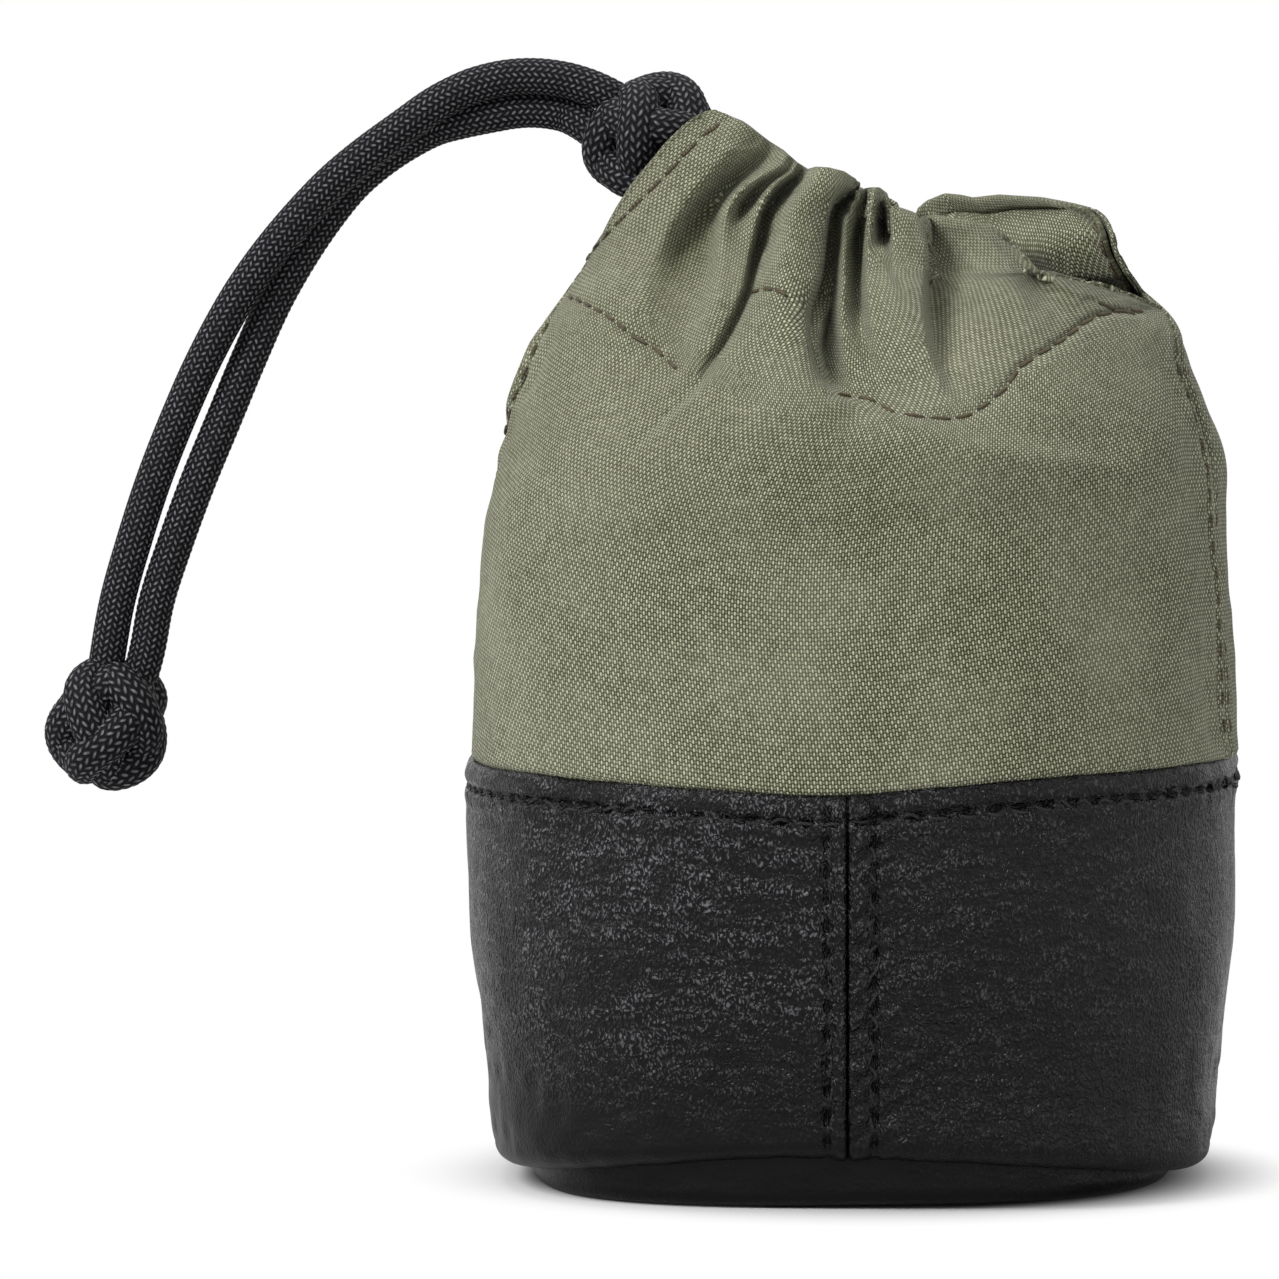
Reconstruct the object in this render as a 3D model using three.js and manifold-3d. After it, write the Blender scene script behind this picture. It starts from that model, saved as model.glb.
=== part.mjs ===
// A padded drawstring pouch for a camera lens.
// Millimetres, +Z up, the front towards -Y, the origin under the centre of the base.
import * as THREE from 'three';
import { mergeVertices } from 'three/addons/utils/BufferGeometryUtils.js';
import Module from 'manifold-3d';

const wasm = await Module();
wasm.setup();

// Overall sizes
const bodyWidth = 86.6;
const bodyDepth = 86.6;
const rimHeight = 45;
const hemHeight = 84;
const slitFootHeight = 97.3;
const peakHeight = 118;

// Plies, from the outside in
const leatherThickness = 1.4;
const canvasThickness = 0.8;
const foamThickness = 4;
const liningThickness = 0.6;
const plyGap = 0.3;
const seamGap = 0.3;

// Base tray and what lies in it
const baseWidth = 70.6;
const baseDepth = 72.2;
const trayWallHeight = 7;
const boardThickness = 1.5;
const basePadThickness = 4.8;
const basePadClearance = 2;
const creaseHeightAtFront = 5.4;
const creaseHeightAtSides = 1.5;
const creaseTuckHeight = 2.6;
const trayEdgeRadius = 1.8;

// Collar
const pleatDepth = 1.1;
const pleatCount = 12;
const cordLevelShare = 0.227;
const cordLevel = THREE.MathUtils.lerp(slitFootHeight, peakHeight, cordLevelShare);
const channelHalfHeight = 10;
const channelFlatHalfHeight = 4.5;
const channelSlack = 0.75;
const facingOverlap = 0.8;
const rimStepHeight = 1.8;

// Drawcord and knots
const cordDiameter = 4;
const cordGap = 0.3;
const archOutset = 3.84;
const archRise = 0.7;
const archRadius = 18.9;
const sliderRadius = 7.3;
const sliderHalfLength = 6.9;
const endKnotRadius = 7.3;
const endKnotHalfLength = 7.1;
const strandDiameter = 3.8;
const channelClearance = 0.4;
const tailSplitLength = 7.6;

// Threads
const threadWidth = 0.7;
const threadThickness = 0.5;
const threadGap = 0.4;
const rimRowDrop = 2.9;
const seamRowOffsetLeft = 2.2;
const seamRowOffsetRight = 2.9;
const sideRowOffset = 2;
const sideRowTopShare = 0.5;
const slitRowInset = 2.4;

// Angles in degrees, from straight up on the arch
const sliderRestAngle = 48;
const upperArchStartAngle = 79;
const straightUpperAngle = -22;
const straightLowerAngle = -12;
const archStepAngle = 8;
const cutterOverrunAngle = 34;
const endKnotTiltAngle = 14;

// Counts
const wallColumnCount = 60;
const innerColumnCount = 30;
const facingColumnCount = 20;
const collarRowCount = 6;
const facingRowCount = 7;
const seamThreadColumnCount = 10;
const cordSideCount = 8;
const channelStepCount = 24;
const cutterStepCount = 12;
const cutterCurveSegmentCount = 4;
const settlePassCount = 12;

// Half widths of the body at a share of the slits' foot height: height, width, depth, squareness
const outlineShares = [
  [0.013, 0.885, 0.885, 3.2], [0.052, 0.921, 0.921, 3.1], [0.128, 0.941, 0.941, 2.9],
  [0.216, 0.967, 0.967, 2.7], [0.31, 0.988, 0.988, 2.45], [0.42, 1, 1, 2.3],
  [0.463, 0.999, 0.999, 2.25], [0.54, 0.984, 0.984, 2.2], [0.63, 0.968, 0.968, 2.2],
  [0.72, 0.953, 0.953, 2.2], [0.79, 0.942, 0.94, 2.2], [0.86, 0.908, 0.885, 2.2],
  [0.905, 0.875, 0.8, 2.2], [0.95, 0.831, 0.69, 2.2], [1, 0.745, 0.56, 2.25],
  [1.045, 0.68, 0.44, 2.3], [1.09, 0.655, 0.385, 2.3], [1.14, 0.64, 0.355, 2.3],
  [1.22, 0.63, 0.34, 2.3],
];

// Top edges of the two flaps: place across the slit to slit width, height from slit foot to peak
const frontTopShares = [
  [-1, 0], [-0.88, 0.32], [-0.68, 0.66], [-0.5, 0.97], [-0.45, 1], [-0.4, 0.94], [-0.33, 0.865],
  [-0.26, 0.8], [-0.19, 0.705], [-0.05, 0.676], [0.09, 0.589], [0.22, 0.454], [0.34, 0.41],
  [0.48, 0.367], [0.6, 0.082], [0.84, 0.015], [1, 0],
];
const backTopShares = [
  [-1, 0], [-0.9, 0.12], [-0.74, 0.36], [-0.43, 0.52], [-0.25, 0.54], [0.24, 0.55], [0.33, 0.56],
  [0.57, 0.535], [0.71, 0.507], [0.85, 0.478], [0.91, 0.33], [0.93, 0.15], [1, 0],
];
const hemCurveShare = 1.5;

// Routes of the two tails past the arch, chosen by hand, from the arch's centre
const upperTailRoute = [
  [-10.3, 0, 15.9], [-14.3, 0, 13.1], [-18.3, 0, 10.2], [-21.9, 0, 7.2], [-26.2, 0, 2.7],
  [-29.7, 0, -1.6], [-32.7, 0, -6], [-36.3, 0, -12.6], [-39.3, 0, -19.3], [-41.9, 0, -25.9],
  [-44.1, 0, -32.6], [-46, 0, -39.3], [-47.1, 0, -45.3],
];
const lowerTailRoute = [
  [-5.7, 1.5, 13.8], [-8.1, 2.6, 13.3], [-10.7, 3.7, 12.6], [-13.9, 4.2, 11.1],
  [-17.3, 4.3, 8.9], [-20.1, 4.2, 6.6], [-23.2, 3.9, 2.9], [-26.1, 3.4, -1.5],
  [-28.7, 2.9, -6.2], [-31.5, 1.9, -12.6], [-34.2, 0.8, -19.3], [-36.9, 0, -25.9],
  [-39.4, 0, -32.6], [-41.6, 0, -39.3], [-42.8, 0, -45.3],
];
const endKnotPlace = [-47, 0, -53.1];
// Leads from the sliding knot down into the collar's channel
const frontLeadRoute = [[19.1, -1, -1], [19.4, -4.2, -2.6], [20.9, -8.7, -3.1], [24.5, -12.9, -2.9]];
const backLeadRoute = [[14.9, 1.2, -1.4], [15.8, 5, -2.9], [18.7, 9.4, -3.2], [23.5, 13, -2.9]];

const leather = { color: 0x333336, roughness: 0.55, metalness: 0 };
const canvas = { color: 0x787a63, roughness: 0.9, metalness: 0 };
const cloth = { color: 0x3d3d3f, roughness: 0.85, metalness: 0 };
const foam = { color: 0x9a9a96, roughness: 0.95, metalness: 0 };
const board = { color: 0x6b5a45, roughness: 0.8, metalness: 0 };
const braid = { color: 0x343436, roughness: 0.8, metalness: 0 };
const blackThread = { color: 0x1c1c1e, roughness: 0.6, metalness: 0 };
const brownThread = { color: 0x5c5140, roughness: 0.7, metalness: 0 };

const group = new THREE.Group();

function addMesh(name, geometry, finish) {
  const mesh = new THREE.Mesh(geometry, new THREE.MeshStandardMaterial(finish));
  mesh.name = name;
  group.add(mesh);
  return mesh;
}

// Reads one column of a table whose first column rises
function readTable(table, place, column) {
  const last = table.length - 1;
  if (place <= table[0][0]) return table[0][column];
  if (place >= table[last][0]) return table[last][column];
  const next = table.findIndex((row) => row[0] > place);
  const [low, high] = [table[next - 1], table[next]];
  return THREE.MathUtils.mapLinear(place, low[0], high[0], low[column], high[column]);
}

// How strongly the collar is gathered at a height, from none to full
function gatherShare(z) {
  return THREE.MathUtils.smoothstep(z, hemHeight, slitFootHeight);
}

// The pouch's outer surface at an angle round +Z and a height
function outerPoint(angle, z) {
  const heightShare = z / slitFootHeight;
  const halfWidth = 0.5 * bodyWidth * readTable(outlineShares, heightShare, 1);
  const halfDepth = 0.5 * bodyDepth * readTable(outlineShares, heightShare, 2);
  const squareness = readTable(outlineShares, heightShare, 3);
  const acrossTerm = (Math.abs(Math.cos(angle)) / halfWidth) ** squareness;
  const deepTerm = (Math.abs(Math.sin(angle)) / halfDepth) ** squareness;
  const radius = (acrossTerm + deepTerm) ** (-1 / squareness);
  return new THREE.Vector3(radius * Math.cos(angle), radius * Math.sin(angle), z);
}

// A point at a depth under the outer surface, along the surface's own normal
function plyPoint(angle, z, depth) {
  const angleStep = 0.01;
  const heightStepShare = 0.003;
  const heightStep = slitFootHeight * heightStepShare;
  const round = outerPoint(angle + angleStep, z).sub(outerPoint(angle - angleStep, z));
  const up = outerPoint(angle, z + heightStep).sub(outerPoint(angle, z - heightStep));
  const normal = round.cross(up).normalize();
  return outerPoint(angle, z).addScaledVector(normal, -depth);
}

// Keeps a half's points off the plane of the seam that it shares with the other half
function keepToSide(point, axis, side) {
  point[axis] = side * Math.max(side * point[axis], 0.5 * seamGap);
}

// A closed solid between two skins, each given by a function of column share and row share.
// A ring has no ends; a capped one is closed over at its foot.
function shell(outerSkin, innerSkin, columns, rows, { ring = false, cap = false } = {}) {
  const positions = [];
  const triangles = [];
  const across = ring ? columns : columns + 1;
  for (const skin of [outerSkin, innerSkin]) {
    for (let row = 0; row <= rows; row += 1) {
      for (let column = 0; column < across; column += 1) {
        const point = skin(column / columns, row / rows);
        positions.push(point.x, point.y, point.z);
      }
    }
  }
  const skinSize = across * (rows + 1);
  const index = (skin, column, row) => skin * skinSize + row * across + (column % across);
  const quad = (a, b, c, d) => triangles.push(a, b, c, a, c, d);
  for (let column = 0; column < columns; column += 1) {
    for (let row = 0; row < rows; row += 1) {
      const [left, right, up] = [column, column + 1, row + 1];
      quad(index(0, left, row), index(0, right, row), index(0, right, up), index(0, left, up));
      quad(index(1, left, row), index(1, left, up), index(1, right, up), index(1, right, row));
    }
    const [left, right] = [column, column + 1];
    quad(index(0, left, rows), index(0, right, rows), index(1, right, rows), index(1, left, rows));
    if (!cap) quad(index(0, left, 0), index(1, left, 0), index(1, right, 0), index(0, right, 0));
  }
  if (!ring) {
    for (let row = 0; row < rows; row += 1) {
      const up = row + 1;
      quad(index(0, 0, row), index(0, 0, up), index(1, 0, up), index(1, 0, row));
      quad(index(0, columns, row), index(1, columns, row), index(1, columns, up), index(0, columns, up));
    }
  }
  if (cap) {
    for (const skin of [0, 1]) {
      const centre = positions.length / 3;
      positions.push(0, 0, positions[3 * index(skin, 0, 0) + 2]);
      for (let column = 0; column < columns; column += 1) {
        const [first, second] = [index(skin, column, 0), index(skin, column + 1, 0)];
        triangles.push(centre, ...(skin === 0 ? [second, first] : [first, second]));
      }
    }
  }
  const geometry = new THREE.BufferGeometry();
  geometry.setAttribute('position', new THREE.Float32BufferAttribute(positions, 3));
  geometry.setIndex(triangles);
  geometry.computeVertexNormals();
  return geometry;
}

const turn = 2 * Math.PI;
const fullTurn = (share) => turn * share;
// The front half runs from the left slit past the front to the right slit, the back half returns
const frontTurn = (share) => Math.PI * (1 + share);
const backTurn = (share) => Math.PI * share;
const leftTurn = (share) => Math.PI * (0.5 + share);
const rightTurn = (share) => Math.PI * (1.5 + share);

// Heights at which every wall ply has a row: up to the cup's rim, then from its step to the hem
const cupRowShares = [0, 0.42, 0.87, 1];
const upperRowShares = [0, 0.3, 0.63, 0.89, 1];
const wallFoot = trayWallHeight + 2 * plyGap;
const stepFoot = rimHeight + plyGap;
const stepTop = stepFoot + rimStepHeight;
const wallHeights = [
  ...cupRowShares.map((share) => THREE.MathUtils.lerp(wallFoot, stepFoot, share)),
  ...upperRowShares.map((share) => THREE.MathUtils.lerp(stepTop, hemHeight, share)),
];

// Depths of the plies
const canvasDepthInCup = leatherThickness + plyGap;
const foamDepthInCup = canvasDepthInCup + canvasThickness + plyGap;
const foamInnerDepth = foamDepthInCup + foamThickness;
const liningDepth = foamInnerDepth + plyGap;
const liningInnerDepth = liningDepth + liningThickness;
const canvasDepth = (z) => canvasDepthInCup * (1 - THREE.MathUtils.smoothstep(z, stepFoot, stepTop));

// Base tray, board and pad share one square outline
const baseSquareness = readTable(outlineShares, 0, 3);
function basePoint(angle, z, inset) {
  const acrossTerm = (Math.abs(Math.cos(angle)) / (0.5 * baseWidth - inset)) ** baseSquareness;
  const deepTerm = (Math.abs(Math.sin(angle)) / (0.5 * baseDepth - inset)) ** baseSquareness;
  const radius = (acrossTerm + deepTerm) ** (-1 / baseSquareness);
  return new THREE.Vector3(radius * Math.cos(angle), radius * Math.sin(angle), z);
}

// Leather cup
function creaseHeight(angle) {
  return THREE.MathUtils.lerp(creaseHeightAtSides, creaseHeightAtFront, Math.sin(angle) ** 2);
}
function tuckDepth(angle, z) {
  const foot = creaseHeight(angle);
  const bodyReach = plyPoint(angle, foot, leatherThickness).setZ(0).length();
  const trayReach = basePoint(angle, 0, -plyGap - 0.5 * seamGap).length();
  const fade = 1 - THREE.MathUtils.smoothstep(z, foot, foot + creaseTuckHeight);
  return Math.max(0, bodyReach - trayReach) * fade;
}
function leatherPanel(name, turnOf, side) {
  const heights = wallHeights.filter((z) => z > wallFoot && z < rimHeight);
  const tuckRowShares = [0, 0.5, 1];
  const rows = tuckRowShares.length + heights.length;
  const skin = (depth) => (columnShare, rowShare) => {
    const angle = turnOf(columnShare);
    const row = Math.round(rowShare * rows);
    const z = row < tuckRowShares.length
      ? creaseHeight(angle) + creaseTuckHeight * tuckRowShares[row]
      : [...heights, rimHeight][row - tuckRowShares.length];
    const point = plyPoint(angle, z, depth + tuckDepth(angle, z));
    point.z = z;
    keepToSide(point, 'x', side);
    return point;
  };
  addMesh(name, shell(skin(0), skin(leatherThickness), wallColumnCount / 2, rows), leather);
}
leatherPanel('leather_panel_left', leftTurn, -1);
leatherPanel('leather_panel_right', rightTurn, 1);

function baseTray() {
  const corner = trayEdgeRadius * (1 - Math.SQRT1_2);
  const outerRings = [[0, trayEdgeRadius], [corner, corner], [trayEdgeRadius, 0], [trayWallHeight, 0]];
  const floor = leatherThickness;
  const innerRings = [[floor, leatherThickness], [floor + corner, leatherThickness],
    [floor + trayEdgeRadius, leatherThickness], [trayWallHeight, leatherThickness]];
  const skin = (rings) => (columnShare, rowShare) => {
    const [z, inset] = rings[Math.round(rowShare * (rings.length - 1))];
    return basePoint(fullTurn(columnShare), z, inset);
  };
  const options = { ring: true, cap: true };
  return shell(skin(outerRings), skin(innerRings), wallColumnCount, outerRings.length - 1, options);
}
addMesh('base_tray', baseTray(), leather);

function basePlate(bottom, thickness, inset) {
  const shape = new THREE.Shape();
  for (let column = 0; column < innerColumnCount; column += 1) {
    const point = basePoint(fullTurn(column / innerColumnCount), 0, inset);
    if (column === 0) shape.moveTo(point.x, point.y);
    else shape.lineTo(point.x, point.y);
  }
  shape.closePath();
  const geometry = new THREE.ExtrudeGeometry(shape, { depth: thickness, bevelEnabled: false });
  geometry.translate(0, 0, bottom);
  return geometry;
}
const boardBottom = leatherThickness + plyGap;
const basePadBottom = boardBottom + boardThickness + plyGap;
const liningFloor = basePadBottom + basePadThickness + plyGap;
addMesh('base_board', basePlate(boardBottom, boardThickness, leatherThickness + plyGap), board);
addMesh('base_pad', basePlate(basePadBottom, basePadThickness, leatherThickness + basePadClearance), foam);

// Edges of the canvas: the hem that sags at the front, and each flap's top edge
const slitHalfWidth = outerPoint(0, slitFootHeight).x;
function hemAt(x) {
  const share = Math.min(1, Math.abs(x) / slitHalfWidth) ** hemCurveShare;
  return THREE.MathUtils.lerp(hemHeight, slitFootHeight, share);
}
// The height at which a wall column meets an edge whose height follows the place across
function meetEdge(angle, start, heightAt) {
  const settleShare = 0.6;
  let z = start;
  for (let pass = 0; pass < settlePassCount; pass += 1) {
    z = THREE.MathUtils.lerp(z, heightAt(outerPoint(angle, z).x), settleShare);
  }
  return z;
}
function topAt(angle, topShares) {
  return meetEdge(angle, slitFootHeight, (x) => {
    const share = readTable(topShares, x / slitHalfWidth, 1);
    return THREE.MathUtils.lerp(slitFootHeight, peakHeight, share);
  });
}
const hemOf = (angle) => meetEdge(angle, hemHeight, hemAt);
const pleatWave = (angle, z) => 0.5 * pleatDepth * gatherShare(z) * (1 - Math.cos(pleatCount * angle));

// Canvas panels, each with its flap of the collar
function canvasPanel(name, turnOf, topShares, side) {
  const wallRows = wallHeights.length - 1;
  const rows = wallRows + collarRowCount;
  const skin = (depth) => (columnShare, rowShare) => {
    const angle = turnOf(columnShare);
    const row = Math.round(rowShare * rows);
    const z = row <= wallRows
      ? wallHeights[row]
      : THREE.MathUtils.lerp(hemHeight, topAt(angle, topShares), (row - wallRows) / collarRowCount);
    const point = plyPoint(angle, z, depth + canvasDepth(z) + pleatWave(angle, z));
    keepToSide(point, 'y', side);
    return point;
  };
  addMesh(name, shell(skin(0), skin(canvasThickness), wallColumnCount / 2, rows), canvas);
}
canvasPanel('canvas_panel_front', frontTurn, frontTopShares, -1);
canvasPanel('canvas_panel_back', backTurn, backTopShares, 1);

// Facings, which bulge in round the drawcord's channel
const cordMidDepth = canvasThickness + pleatDepth + cordGap + 0.5 * cordDiameter;
const facingSeatDepth = canvasThickness + pleatDepth + plyGap;
const facingChannelDepth = cordMidDepth + 0.5 * cordDiameter + channelSlack;
function facingDepth(z) {
  const reach = THREE.MathUtils.smoothstep(Math.abs(z - cordLevel), channelFlatHalfHeight, channelHalfHeight);
  return THREE.MathUtils.lerp(facingChannelDepth, facingSeatDepth, reach);
}
const facingStartShare = 0.42;
const facingEndShare = 0.96;
function collarFacing(name, turnOf, topShares, side) {
  const skin = (depth) => (columnShare, rowShare) => {
    const angle = turnOf(columnShare);
    const low = hemOf(angle) + facingOverlap;
    const high = Math.max(topAt(angle, topShares) - facingOverlap, low + facingOverlap);
    const z = THREE.MathUtils.lerp(low, high, rowShare);
    const point = plyPoint(angle, z, depth + facingDepth(z));
    keepToSide(point, 'y', side);
    return point;
  };
  addMesh(name, shell(skin(0), skin(canvasThickness), facingColumnCount, facingRowCount), canvas);
}
const facingSpan = (share) => THREE.MathUtils.lerp(facingStartShare, facingEndShare, share);
collarFacing('collar_facing_front', (share) => frontTurn(facingSpan(share)), frontTopShares, -1);
collarFacing('collar_facing_back', (share) => backTurn(1 - facingSpan(1 - share)), backTopShares, 1);

// Foam sleeve and lining
function foamSleeve() {
  const heights = wallHeights.slice(0, -1);
  const rows = heights.length - 1;
  const outer = (columnShare, rowShare) => {
    const z = heights[Math.round(rowShare * rows)];
    return plyPoint(fullTurn(columnShare), z, canvasDepth(z) + canvasThickness + plyGap).setZ(z);
  };
  const inner = (columnShare, rowShare) => {
    const z = heights[Math.round(rowShare * rows)];
    return plyPoint(fullTurn(columnShare), z, foamInnerDepth).setZ(z);
  };
  return shell(outer, inner, innerColumnCount, rows, { ring: true });
}
addMesh('wall_padding', foamSleeve(), foam);

function liningBag() {
  const heights = wallHeights.slice(1, -1);
  const rows = heights.length + 1;
  const skin = (depth, floor) => (columnShare, rowShare) => {
    const row = Math.round(rowShare * rows);
    const z = [floor, ...heights, hemHeight - liningThickness][row];
    return plyPoint(fullTurn(columnShare), z, depth).setZ(z);
  };
  const outer = skin(liningDepth, liningFloor);
  const inner = skin(liningInnerDepth, liningFloor + liningThickness);
  return shell(outer, inner, innerColumnCount, rows, { ring: true, cap: true });
}
addMesh('lining', liningBag(), cloth);

// Drawcord routes: concentric arches that the sliding knot can follow, then the hanging tails
const cordPitch = cordDiameter + cordGap;
const lowerArchRadius = archRadius - cordPitch;
const middleArchRadius = archRadius - 0.5 * cordPitch;
const archCentre = new THREE.Vector3(-slitHalfWidth - archOutset, 0, cordLevel + archRise);
function archPoint(radius, degrees) {
  const angle = THREE.MathUtils.degToRad(degrees);
  return new THREE.Vector3(radius * Math.sin(angle), 0, radius * Math.cos(angle)).add(archCentre);
}
function archPoints(radius, fromAngle, toAngle) {
  const points = [];
  for (let angle = fromAngle; angle > toAngle; angle -= archStepAngle) points.push(archPoint(radius, angle));
  points.push(archPoint(radius, toAngle));
  return points;
}
const toPoints = (route) => route.map((place) => new THREE.Vector3(...place).add(archCentre));

// A stretch of a longer curve, from one length along it to another
class Stretch extends THREE.Curve {
  constructor(whole, from, to) {
    super();
    this.whole = whole;
    this.from = from / whole.getLength();
    this.to = to / whole.getLength();
  }

  getPoint(share, target = new THREE.Vector3()) {
    return this.whole.getPointAt(THREE.MathUtils.lerp(this.from, this.to, share), target);
  }
}

function cordTube(curve, stepLength) {
  const section = new THREE.Shape();
  section.absarc(0, 0, 0.5 * cordDiameter, 0, turn, false);
  const outline = new THREE.Shape(section.getPoints(cordSideCount / 2).slice(0, -1));
  const steps = Math.max(2, Math.round(curve.getLength() / stepLength));
  return new THREE.ExtrudeGeometry(outline, { steps, extrudePath: curve, bevelEnabled: false });
}

function makeTail(label, radius, straightAngle, route) {
  const points = [...archPoints(radius, upperArchStartAngle, straightAngle), ...toPoints(route)];
  const whole = new THREE.CatmullRomCurve3(points, false, 'centripetal');
  const length = whole.getLength();
  const bendStart = radius * THREE.MathUtils.degToRad(upperArchStartAngle - straightUpperAngle);
  const bendEnd = bendStart + tailSplitLength;
  const fineStepShare = 0.75;
  const coarseStepShare = 2.2;
  const fineStep = fineStepShare * cordDiameter;
  const coarseStep = coarseStepShare * cordDiameter;
  addMesh(`${label}_arch`, cordTube(new Stretch(whole, 0, bendStart), fineStep), braid);
  addMesh(`${label}_bend`, cordTube(new Stretch(whole, bendStart + cordGap, bendEnd), fineStep), braid);
  addMesh(`${label}_tail`, cordTube(new Stretch(whole, bendEnd + cordGap, length), coarseStep), braid);
  return length;
}
const upperLength = makeTail('upper_cord', archRadius, straightUpperAngle, upperTailRoute);
const lowerLength = makeTail('lower_cord', lowerArchRadius, straightLowerAngle, lowerTailRoute);

// The loop held in the collar, from one tail round the mouth to the other
function channelPoint(angle) {
  return plyPoint(angle, cordLevel, cordMidDepth);
}
function drawcordLoop() {
  const startAngle = Math.PI * (1 + facingStartShare);
  const endAngle = Math.PI * (3 - facingStartShare);
  const channel = [];
  for (let step = 0; step <= channelStepCount; step += 1) {
    channel.push(channelPoint(THREE.MathUtils.lerp(startAngle, endAngle, step / channelStepCount)));
  }
  const archFoot = (radius) => [
    archPoint(radius, upperArchStartAngle + THREE.MathUtils.radToDeg(cordGap / radius)),
    archPoint(radius, upperArchStartAngle + archStepAngle),
  ];
  const points = [
    ...archFoot(archRadius), ...toPoints(frontLeadRoute), ...channel,
    ...toPoints(backLeadRoute).reverse(), ...archFoot(lowerArchRadius).reverse(),
  ];
  return cordTube(new THREE.CatmullRomCurve3(points, false, 'centripetal'), cordDiameter);
}
addMesh('drawcord_loop', drawcordLoop(), braid);

// A closed mesh as a solid for joining and cutting, and back
function toSolid(geometry) {
  const bare = geometry.clone();
  bare.deleteAttribute('normal');
  bare.deleteAttribute('uv');
  const merged = mergeVertices(bare);
  return new wasm.Manifold(new wasm.Mesh({
    numProp: 3,
    vertProperties: new Float32Array(merged.attributes.position.array),
    triVerts: new Uint32Array(merged.index.array),
  }));
}
function toGeometry(solid) {
  const mesh = solid.getMesh();
  const geometry = new THREE.BufferGeometry();
  geometry.setAttribute('position', new THREE.BufferAttribute(new Float32Array(mesh.vertProperties), 3));
  geometry.setIndex(new THREE.BufferAttribute(new Uint32Array(mesh.triVerts), 1));
  geometry.computeVertexNormals();
  return geometry;
}

// A woven knot of three leads and four bights. Its surface is the furthest reach of its strand.
const leadCount = 3;
const bightCount = 4;
const strandSampleCount = 144;
const weaveShare = 0.25;
const flatteningShare = 0.75;
const knotCoreShare = 0.6;
const knotColumnCount = 24;
const knotRowCount = 16;
function knotStrand(radius, halfLength) {
  const strandRadius = 0.5 * strandDiameter;
  const midRadius = radius - strandRadius;
  const midHalf = halfLength - strandRadius;
  const weave = weaveShare * strandRadius;
  const points = [];
  for (let sample = 0; sample < strandSampleCount; sample += 1) {
    const place = turn * sample / strandSampleCount;
    const height = midHalf * Math.cos(bightCount * place);
    const belly = Math.sqrt(1 - flatteningShare * (height / midHalf) ** 2);
    const reach = midRadius * belly - weave + weave * Math.sin(2 * bightCount * place);
    const round = leadCount * place;
    points.push(new THREE.Vector3(reach * Math.cos(round), reach * Math.sin(round), height));
  }
  return points;
}
function knotGeometry(radius, halfLength) {
  const strand = knotStrand(radius, halfLength);
  const strandRadius = 0.5 * strandDiameter;
  const ball = new THREE.SphereGeometry(1, knotColumnCount, knotRowCount);
  const core = knotCoreShare * Math.min(radius, halfLength);
  const positions = ball.attributes.position;
  const direction = new THREE.Vector3();
  for (let vertex = 0; vertex < positions.count; vertex += 1) {
    direction.fromBufferAttribute(positions, vertex).normalize();
    let reach = core;
    for (const place of strand) {
      const along = place.dot(direction);
      const spare = strandRadius ** 2 - place.lengthSq() + along ** 2;
      if (spare > 0) reach = Math.max(reach, along + Math.sqrt(spare));
    }
    positions.setXYZ(vertex, direction.x * reach, direction.y * reach, direction.z * reach);
  }
  return ball;
}

// Sliding knot: its axis lies along the arch, and one curved channel clears both cords
function slidingKnot() {
  const geometry = knotGeometry(sliderRadius, sliderHalfLength);
  geometry.rotateY(THREE.MathUtils.degToRad(90 + sliderRestAngle));
  const centre = archPoint(middleArchRadius, sliderRestAngle);
  geometry.translate(centre.x, centre.y, centre.z);
  const halfAcross = 0.5 * cordDiameter + channelClearance;
  const section = new THREE.Shape();
  section.absarc(0, 0.5 * cordPitch, halfAcross, 0, Math.PI, false);
  section.absarc(0, -0.5 * cordPitch, halfAcross, Math.PI, turn, false);
  const [from, to] = [sliderRestAngle + cutterOverrunAngle, sliderRestAngle - cutterOverrunAngle];
  const channel = new THREE.CatmullRomCurve3(archPoints(middleArchRadius, from, to), false, 'centripetal');
  const options = {
    steps: cutterStepCount, curveSegments: cutterCurveSegmentCount, extrudePath: channel, bevelEnabled: false,
  };
  const cutter = new THREE.ExtrudeGeometry(section, options);
  return toGeometry(toSolid(geometry).subtract(toSolid(cutter)));
}
addMesh('sliding_knot', slidingKnot(), braid);

function endKnot() {
  const geometry = knotGeometry(endKnotRadius, endKnotHalfLength);
  geometry.rotateY(THREE.MathUtils.degToRad(endKnotTiltAngle));
  const [centre] = toPoints([endKnotPlace]);
  geometry.translate(centre.x, centre.y, centre.z);
  return geometry;
}
addMesh('end_knot', endKnot(), braid);

// Thread rows lie just off the surface they are sewn to
function threadBand(name, placeOf, columns, finish, ring = false) {
  const skin = (lift) => (columnShare, rowShare) => {
    const { angle, z, shift = 0 } = placeOf(columnShare, rowShare - 0.5);
    const base = z > rimHeight ? canvasDepth(z) + pleatWave(angle, z) : tuckDepth(angle, z);
    const point = plyPoint(angle, z, base - lift);
    point.y += shift;
    return point;
  };
  addMesh(name, shell(skin(threadGap + threadThickness), skin(threadGap), columns, 1, { ring }), finish);
}
threadBand('rim_thread', (column, row) => ({
  angle: fullTurn(column), z: rimHeight - rimRowDrop + threadWidth * row,
}), wallColumnCount, blackThread, true);

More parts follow.
